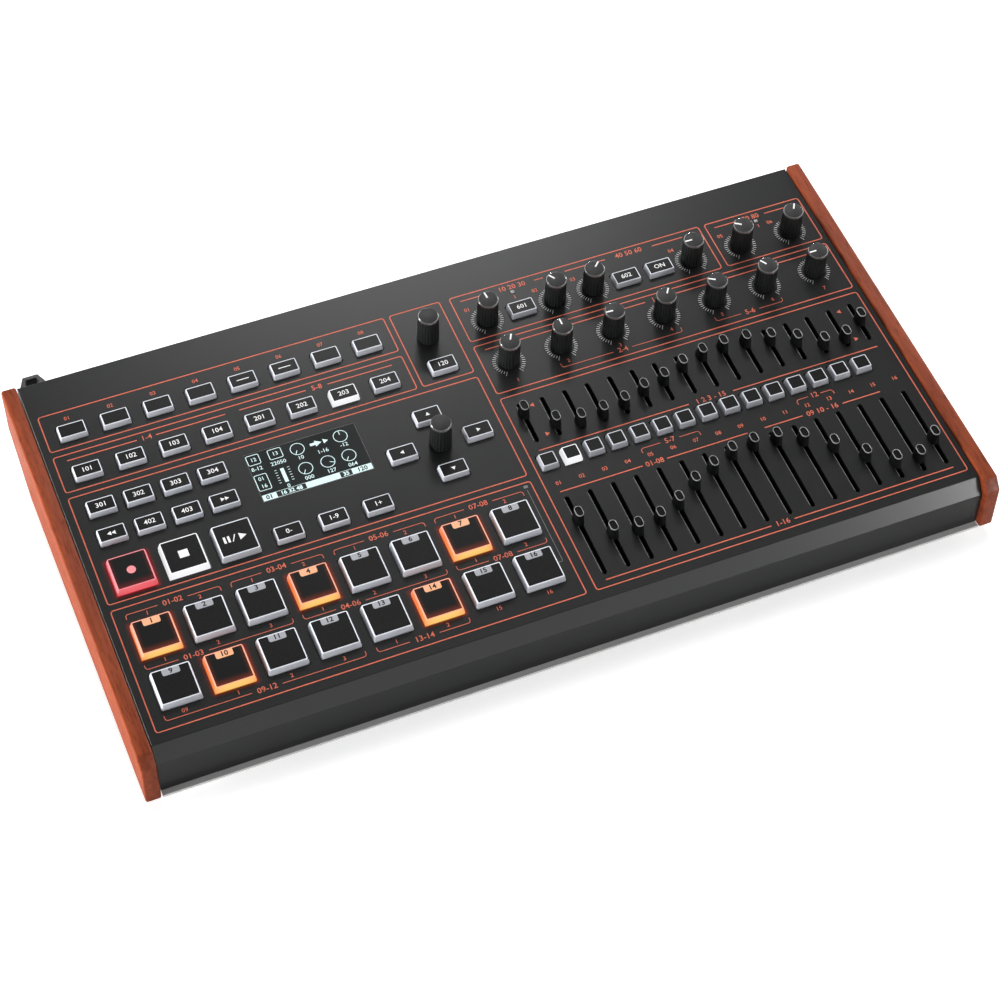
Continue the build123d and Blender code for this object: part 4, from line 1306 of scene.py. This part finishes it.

# %% [markdown]
# ## Painted highlights on the cut edges of the steel
# Coated steel catches the light along each cut edge. That fine bright line beside every slot and down
# the left end of the panel is painted here: a slim pale strip, laid level with the steel.

# %% Painted highlights on the cut edges
SLOT_WIDTH = 2.75
SLOT_PLAY = {"pan": 2.6, "volume": 1.1}
FADER_TRAVEL = {"pan": 20.0, "volume": 45.0}
EDGE_WIDTH, EDGE_HEIGHT = 0.16, 0.01
PANEL_EDGE_X, PANEL_ENDS = -214.8, (0.6, 221.0)

edge_highlight_lines = bmesh.new()
for k in range(1, CHANNELS + 1):
    for kind, travel in FADER_TRAVEL.items():
        body = f"{kind}_fader_{k:02}"
        straight = travel + STEM_SIZE[1] + SLOT_PLAY[kind] - SLOT_WIDTH
        x, s = fader_place(body)
        middle = s + sum(joints[f"{body}_slide"]["range_m"]) / 2 / MM
        x -= SLOT_WIDTH / 2 - EDGE_WIDTH / 2
        bar(edge_highlight_lines, (x, middle - straight / 2), (x, middle + straight / 2), EDGE_WIDTH, EDGE_HEIGHT)
bar(edge_highlight_lines, (PANEL_EDGE_X, PANEL_ENDS[0]), (PANEL_EDGE_X, PANEL_ENDS[1]), EDGE_WIDTH, EDGE_HEIGHT)
add_piece("edge_highlight_lines", face_up(edge_highlight_lines), edge_highlight_finish, "case")
print("slot edges:", 2 * CHANNELS)

# %% [markdown]
# ## The sockets at the back
# What makes a socket look real is the little metal in it: the plated bush of a jack, the shield and
# the pin holes of a DIN socket, the lining of the USB port. They are rings off the same lathe as the
# knobs, laid on a second drawing sheet that stands upright on the rear wall and is read from behind.

# %% Rear details
JACK_X = (132.0, 157.0, 182.0)
MINI_X = [-48.0 + 20.0 * k for k in range(8)]
DIN_X = (-127.0, -103.0, -79.0)
USB_X, INLET_X = -150.0, -189.0
USB_HALF_WIDTH, USB_HALF_HEIGHT, USB_WALL = 4.5, 4.1, 0.5
DIN_PIN_RADIUS, DIN_PIN_TURNS = 3.6, (-90, -45, 0, 45, 90)
REAR_FIGURE_S = 6.4
ROUND = 40
# Each ring is given by its bore, its radius, and the heights of its foot and its top.
JACK_BUSH, MINI_BUSH, INLET_BUSH = (3.3, 5.55, 1.9, 3.3), (1.85, 3.05, 0.05, 1.9), (3.25, 4.1, 0.02, 0.3)
DIN_FLANGE, DIN_SHIELD = (6.9, 7.75, 0.02, 0.6), (6.2, 6.75, -5.0, -0.2)
DIN_CONTACT = (0.45, 0.85, 0.02, 0.12)

_, rear_y, socket_z = joints["power_switch_rock"]["pos_m"]
rear_turn = Matrix(((-1, 0, 0), (0, 0, 1), (0, 1, 0))).to_4x4()
rear_place = Matrix.Translation((0, rear_y, socket_z)) @ rear_turn @ Matrix.Diagonal((MM, MM, MM, 1))


def bush(bore, radius, low, high):
    """A ring with a round bore and eased rims."""
    profile = [(bore, low), (bore, high - 0.1), (bore + 0.15, high), (radius - 0.25, high),
               (radius, high - 0.25), (radius, low)]
    return lathe([*profile, profile[0]], ROUND)


def at_rear(columns, s=0.0):
    """Places on the rear sheet, where x runs the other way."""
    return [(-x, s) for x in columns]


def add_rear(name, shape, finish):
    add_piece(name, shape, finish, "case", place=rear_place)


add_rear("jack_bushes", repeat(bush(*JACK_BUSH), at_rear(JACK_X)), metal_finish)
add_rear("mini_bushes", repeat(bush(*MINI_BUSH), at_rear(MINI_X)), metal_finish)
add_rear("din_flanges", repeat(bush(*DIN_FLANGE), at_rear(DIN_X)), socket_finish)
add_rear("din_shields", repeat(bush(*DIN_SHIELD), at_rear(DIN_X)), metal_finish)

pin_places = []
for x, s in at_rear(DIN_X):
    for turn in DIN_PIN_TURNS:
        way = radians(turn)
        pin_places.append((x + DIN_PIN_RADIUS * sin(way), s + DIN_PIN_RADIUS * cos(way)))
add_rear("din_contacts", repeat(bush(*DIN_CONTACT), pin_places), metal_finish)

usb_lining = bmesh.new()
usb_low = (-USB_X - USB_HALF_WIDTH, -USB_HALF_HEIGHT)
usb_high = (-USB_X + USB_HALF_WIDTH, USB_HALF_HEIGHT)
box_line(usb_lining, usb_low, usb_high, USB_WALL, USB_WALL)
add_rear("usb_lining", face_up(usb_lining), metal_finish)
add_rear("inlet_bush", repeat(bush(*INLET_BUSH), at_rear([INLET_X])), metal_finish)
rear_print = bmesh.new()
for k, (x, s) in enumerate(at_rear(MINI_X, REAR_FIGURE_S), start=1):
    digits(rear_print, str(k), x, s, SMALL_CAPTION)
add_piece("rear_print", face_up(rear_print), orange_ink, "case", place=rear_place)
print("sockets with metal:", len(JACK_X) + len(MINI_X) + len(DIN_X) + 2)

# %% [markdown]
# ## The display
# The panel has a window with a black glass in it. What it shows is lit, so the figures and dials are
# thin glowing faces on the glass. They are generic: boxes with numbers, round dials with a hand, a
# level bar and a status strip.

# %% Display graphics
DISPLAY_HEIGHT = 0.02
SCREEN_WIDTH = 0.36
SCREEN_DOTS = 1500


def screen_light(name, colour, strength):
    """A lit face that is a little uneven, as a dot display is."""
    finish = Finish(name, Base_Color=shade(0.4, colour), Roughness=0.3, Emission_Strength=strength)
    dots = finish.between(finish.noise(SCREEN_DOTS, detail=0.0), 0.2, 0.5)
    finish.feed("Emission Color", finish.mix(dots, shade(0.62, colour), shade(1, colour)))
    return finish.material


screen_finish = screen_light("screen_light", (0.70, 0.92, 0.92), 0.72)
SCREEN_DIALS = (
    (-96.1, 136.0, -150), (-73.4, 136.0, 0),
    (-96.1, 123.4, -150), (-84.5, 123.4, 115), (-73.4, 123.4, -145),
)
DIAL_RADIUS = 3.7
DIAL_SIDES = 24

SCREEN_FIGURES = (
    ("12", -118.7, 137.2), ("13", -107.3, 137.2), ("01", -118.7, 124.9), ("16", -118.7, 120.3),
    ("8-12", -118.7, 131.4), ("22050", -107.5, 131.4), ("10", -96.1, 130.4), ("1-16", -84.5, 130.4),
    ("-12", -73.4, 130.4), ("0", -107.3, 116.4), ("000", -96.1, 117.5), ("127", -84.5, 117.5),
    ("064", -73.4, 117.5),
)
SCREEN_BOXES = (
    ((-121.9, 134.2), (-115.5, 140.2)),
    ((-110.7, 134.2), (-103.9, 140.2)),
    ((-121.9, 117.9), (-115.5, 127.6)),
)
SCREEN_CORNER = 0.8
LEVEL_X, LEVEL_ENDS, LEVEL_WIDTH = -107.3, (118.9, 127.6), 1.9
LEVEL_MARKS, LEVEL_MARK_FIRST, LEVEL_MARK_PITCH = 6, 119.3, 1.6
SIGNAL_S = 136.0
SIGNAL_ARROWS = ((-85.6, 2.2), (-81.6, 1.7))

screen = bmesh.new()
for low, high in SCREEN_BOXES:
    box_line(screen, low, high, SCREEN_WIDTH, SCREEN_CORNER, DISPLAY_HEIGHT)
for text, x, s in SCREEN_FIGURES:
    digits(screen, text, x, s, SMALL_CAPTION, DISPLAY_HEIGHT)
for x, s, angle in SCREEN_DIALS:
    rim = bmesh.ops.create_circle(screen, radius=DIAL_RADIUS, segments=DIAL_SIDES, cap_ends=True,
                                  matrix=Matrix.Translation((x, s, DISPLAY_HEIGHT)))
    face = rim["verts"][0].link_faces[0]
    bmesh.ops.inset_region(screen, faces=[face], use_boundary=True, use_even_offset=True,
                           thickness=SCREEN_WIDTH, depth=0)
    bmesh.ops.delete(screen, geom=[face], context="FACES_ONLY")
    way = Vector((sin(radians(angle)), cos(radians(angle))))
    centre = Vector((x, s))
    bar(screen, centre + way * 0.9, centre + way * (DIAL_RADIUS - SCREEN_WIDTH), SCREEN_WIDTH, DISPLAY_HEIGHT)
bar(screen, (LEVEL_X, LEVEL_ENDS[0]), (LEVEL_X, LEVEL_ENDS[1]), LEVEL_WIDTH, DISPLAY_HEIGHT)
for k in range(LEVEL_MARKS):
    for side in (-1, 1):
        x = LEVEL_X + side * 3.3
        s = LEVEL_MARK_FIRST + LEVEL_MARK_PITCH * k
        bar(screen, (x - 0.6, s), (x + 0.6, s), 0.3, DISPLAY_HEIGHT)
bar(screen, (-89.4, SIGNAL_S), (-86.6, SIGNAL_S), 1.6, DISPLAY_HEIGHT)
for x, radius in SIGNAL_ARROWS:
    triangle(screen, x, SIGNAL_S, radius, 90, DISPLAY_HEIGHT)
print("screen figures and dials:", len(SCREEN_FIGURES), len(SCREEN_DIALS))

# %% [markdown]
# ## The status strip
# Along the foot of the display runs a strip that is lit, with dark figures, and two fields in it are
# dark, with lit figures. So it takes three layers, each two hundredths of a millimetre over the last.

# %% Status strip and rim of the glass
STATUS_S, STATUS_TEXT_S = 113.3, 113.2
STATUS_ENDS, STATUS_WIDTH = (-121.9, -64.8), 3.7
FIELD_ENDS, FIELD_WIDTH = ((-114.6, -99.4), (-81.6, -75.4)), 3.3
FIELD_HEIGHT, FIELD_TEXT_HEIGHT = DISPLAY_HEIGHT + 0.02, DISPLAY_HEIGHT + 0.04
DARK_FIGURE = 3.6
GLASS_LOW, GLASS_HIGH = (-122.3, 111.1), (-64.4, 141.4)
GLASS_RIM, GLASS_CORNER = 0.18, 0.3

bar(screen, (STATUS_ENDS[0], STATUS_S), (STATUS_ENDS[1], STATUS_S), STATUS_WIDTH, DISPLAY_HEIGHT)
add_piece("screen_graphics", face_up(screen), screen_finish, "case")
status_dark, status_lit = bmesh.new(), bmesh.new()
for start, end in FIELD_ENDS:
    bar(status_dark, (start, STATUS_S), (end, STATUS_S), FIELD_WIDTH, FIELD_HEIGHT)
for text, x in (("01", -118.4), ("120", -70.0)):
    digits(status_dark, text, x, STATUS_TEXT_S, DARK_FIGURE, FIELD_HEIGHT, BOLDER)
for text, x in (("16 32 48", -107.0), ("35", -78.5)):
    digits(status_lit, text, x, STATUS_TEXT_S, SMALL_CAPTION, FIELD_TEXT_HEIGHT, BOLDER)
add_piece("screen_figures", face_up(status_dark), dark_ink, "case")
add_piece("screen_figures_lit", face_up(status_lit), screen_finish, "case")

screen_edge = bmesh.new()
box_line(screen_edge, GLASS_LOW, GLASS_HIGH, GLASS_RIM, GLASS_CORNER, DISPLAY_HEIGHT)
add_piece("screen_edge", face_up(screen_edge), grey_ink, "case")
print("glass, mm:", round(GLASS_HIGH[0] - GLASS_LOW[0], 1), "by", round(GLASS_HIGH[1] - GLASS_LOW[1], 1))

# %% [markdown]
# ## Floor and sky
# The machine stands on a pale floor in soft studio light. The floor is white to the camera and still
# keeps the shadow, because only camera rays get a little extra brightness. The sky does the same: it
# is white to the camera, and the object sees it bright at the horizon and dim overhead.

# %% Floor and world
FLOOR_SIZE = 12.0
FLOOR_LIFT = 0.58


def floor_finish():
    """Pale paper, a little brighter to the camera than to the object."""
    finish = Finish("floor_paper", Base_Color=shade(0.8), Roughness=0.55, Specular_IOR_Level=0.25)
    seen = finish.node("ShaderNodeLightPath", output="Is Camera Ray")
    fibres = finish.noise(40, detail=3.0)
    finish.feed("Base Color", finish.mix(fibres, shade(0.79), shade(0.81)))
    lift = seen * FLOOR_LIFT
    glow = finish.node("ShaderNodeCombineColor", {"mode": "RGB"}, {0: lift, 1: lift, 2: lift})
    finish.feed("Emission Color", glow)
    finish.feed("Emission Strength", 1.0)
    return finish.material


floor_shape = bmesh.new()
bmesh.ops.create_grid(floor_shape, x_segments=1, y_segments=1, size=FLOOR_SIZE / 2)
floor_mesh = bpy.data.meshes.new("floor")
floor_shape.to_mesh(floor_mesh)
floor_shape.free()
floor_mesh.materials.append(floor_finish())
floor = bpy.data.objects.new("floor", floor_mesh)
bpy.context.scene.collection.objects.link(floor)
floor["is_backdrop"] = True

WORLD_LOW, WORLD_HIGH = 0.75, 0.10
WORLD_FADE = (0.05, 0.60)


def studio_world():
    """White to the camera. For the object, bright near the horizon and dim overhead."""
    world = bpy.data.worlds.new("studio")
    world.use_nodes = True
    sky = world.node_tree
    way = sky.nodes.new("ShaderNodeTexCoord")
    height = sky.nodes.new("ShaderNodeSeparateXYZ")
    fade = sky.nodes.new("ShaderNodeMapRange")
    fade.interpolation_type = "SMOOTHSTEP"
    fade.inputs["From Min"].default_value, fade.inputs["From Max"].default_value = WORLD_FADE
    fade.inputs["To Min"].default_value, fade.inputs["To Max"].default_value = WORLD_LOW, WORLD_HIGH
    seen = sky.nodes.new("ShaderNodeLightPath")
    level = sky.nodes.new("ShaderNodeMapRange")
    level.inputs["To Max"].default_value = 1.0
    sky.links.new(way.outputs["Generated"], height.inputs[0])
    sky.links.new(height.outputs["Z"], fade.inputs["Value"])
    sky.links.new(fade.outputs[0], level.inputs["To Min"])
    sky.links.new(seen.outputs["Is Camera Ray"], level.inputs["Value"])
    sky.links.new(level.outputs[0], sky.nodes["Background"].inputs["Strength"])
    sky.nodes["Background"].inputs["Color"].default_value = (1, 1, 1, 1)
    return world


bpy.context.scene.world = studio_world()
print("floor, m:", FLOOR_SIZE, "world:", bpy.context.scene.world.name)

# %% [markdown]
# ## Softboxes
# Dark satin steel is hard to light: a lamp that is bright enough for the keys turns the panel grey
# with its reflection. So the key lamp is left out of the gloss, and low boxes at the sides, which the
# panel does not reflect towards the camera, draw the crescents on the knobs. A strip behind gives the
# back of the panel its sheen. Two low cards in front show only in the gloss, for the chamfer. Two
# fills stay out of the gloss and lift the fronts of the keys and the left cheek.

# %% Lamps
LAMPS = (
    ("key_softbox", (0.25, 0.8, 1.7), (1.5, 1.1), 26.0, "diffuse"),
    ("left_softbox", (-1.6, 0.8, 0.45), (0.4, 0.5), 7.0, "both"),
    ("right_softbox", (1.6, 0.9, 0.5), (0.5, 0.5), 13.0, "both"),
    ("back_strip", (0.42, 1.27, 1.34), (0.6, 0.35), 7.5, "both"),
    ("corner_card", (0.62, -0.70, 0.19), (0.12, 0.25), 6.0, "gloss"),
    ("front_card", (0.0, -1.55, 0.42), (1.8, 0.35), 4.2, "gloss"),
    ("front_fill", (0.6, -1.5, 0.5), (1.2, 0.6), 8.0, "diffuse"),
    ("left_fill", (-1.5, 0.0, 0.12), (0.8, 0.2), 40.0, "diffuse"),
)


def softbox(name, place, size, power, reach):
    """A rectangular lamp that looks at the origin and reaches the gloss, the rest or both."""
    lamp = bpy.data.lights.new(name, "AREA")
    lamp.shape = "RECTANGLE"
    lamp.size, lamp.size_y = size
    lamp.energy = power
    holder = bpy.data.objects.new(name, lamp)
    bpy.context.scene.collection.objects.link(holder)
    holder.location = place
    holder.rotation_euler = (-Vector(place)).to_track_quat("-Z", "Y").to_euler()
    holder.visible_glossy = reach != "diffuse"
    holder.visible_diffuse = reach != "gloss"


for lamp in LAMPS:
    softbox(*lamp)
print("lamps:", len(LAMPS))

# %% [markdown]
# ## Camera
# The camera is a long lens from the left, high above the front. Its place, its turn and its lens
# belong together: they were fitted so that the corners of the case fall where they should.

# %% Camera
CAMERA_LENS, CAMERA_SENSOR = 91.757, 36.0
CAMERA_PLACE = (-320.55, -766.282, 1013.298)
CAMERA_TURN = (39.03857, -0.51163, -22.27017)

camera_data = bpy.data.cameras.new("camera")
camera_data.lens = CAMERA_LENS
camera_data.sensor_width = CAMERA_SENSOR
camera = bpy.data.objects.new("camera", camera_data)
bpy.context.scene.collection.objects.link(camera)
camera.location = Vector(CAMERA_PLACE) * MM
camera.rotation_euler = Euler([radians(angle) for angle in CAMERA_TURN], "XYZ")
bpy.context.scene.camera = camera
bpy.context.scene.view_settings.view_transform = "Standard"
print("lens, mm:", CAMERA_LENS)

# %% [markdown]
# ## Sizes
# The dressed machine is measured against the box of the solids.

# %% Measure and finish
low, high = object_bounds()
print("grows by mm:", [round(1000 * (a - b), 2) for a, b in zip((*high, *cad_low), (*cad_high, *low))])
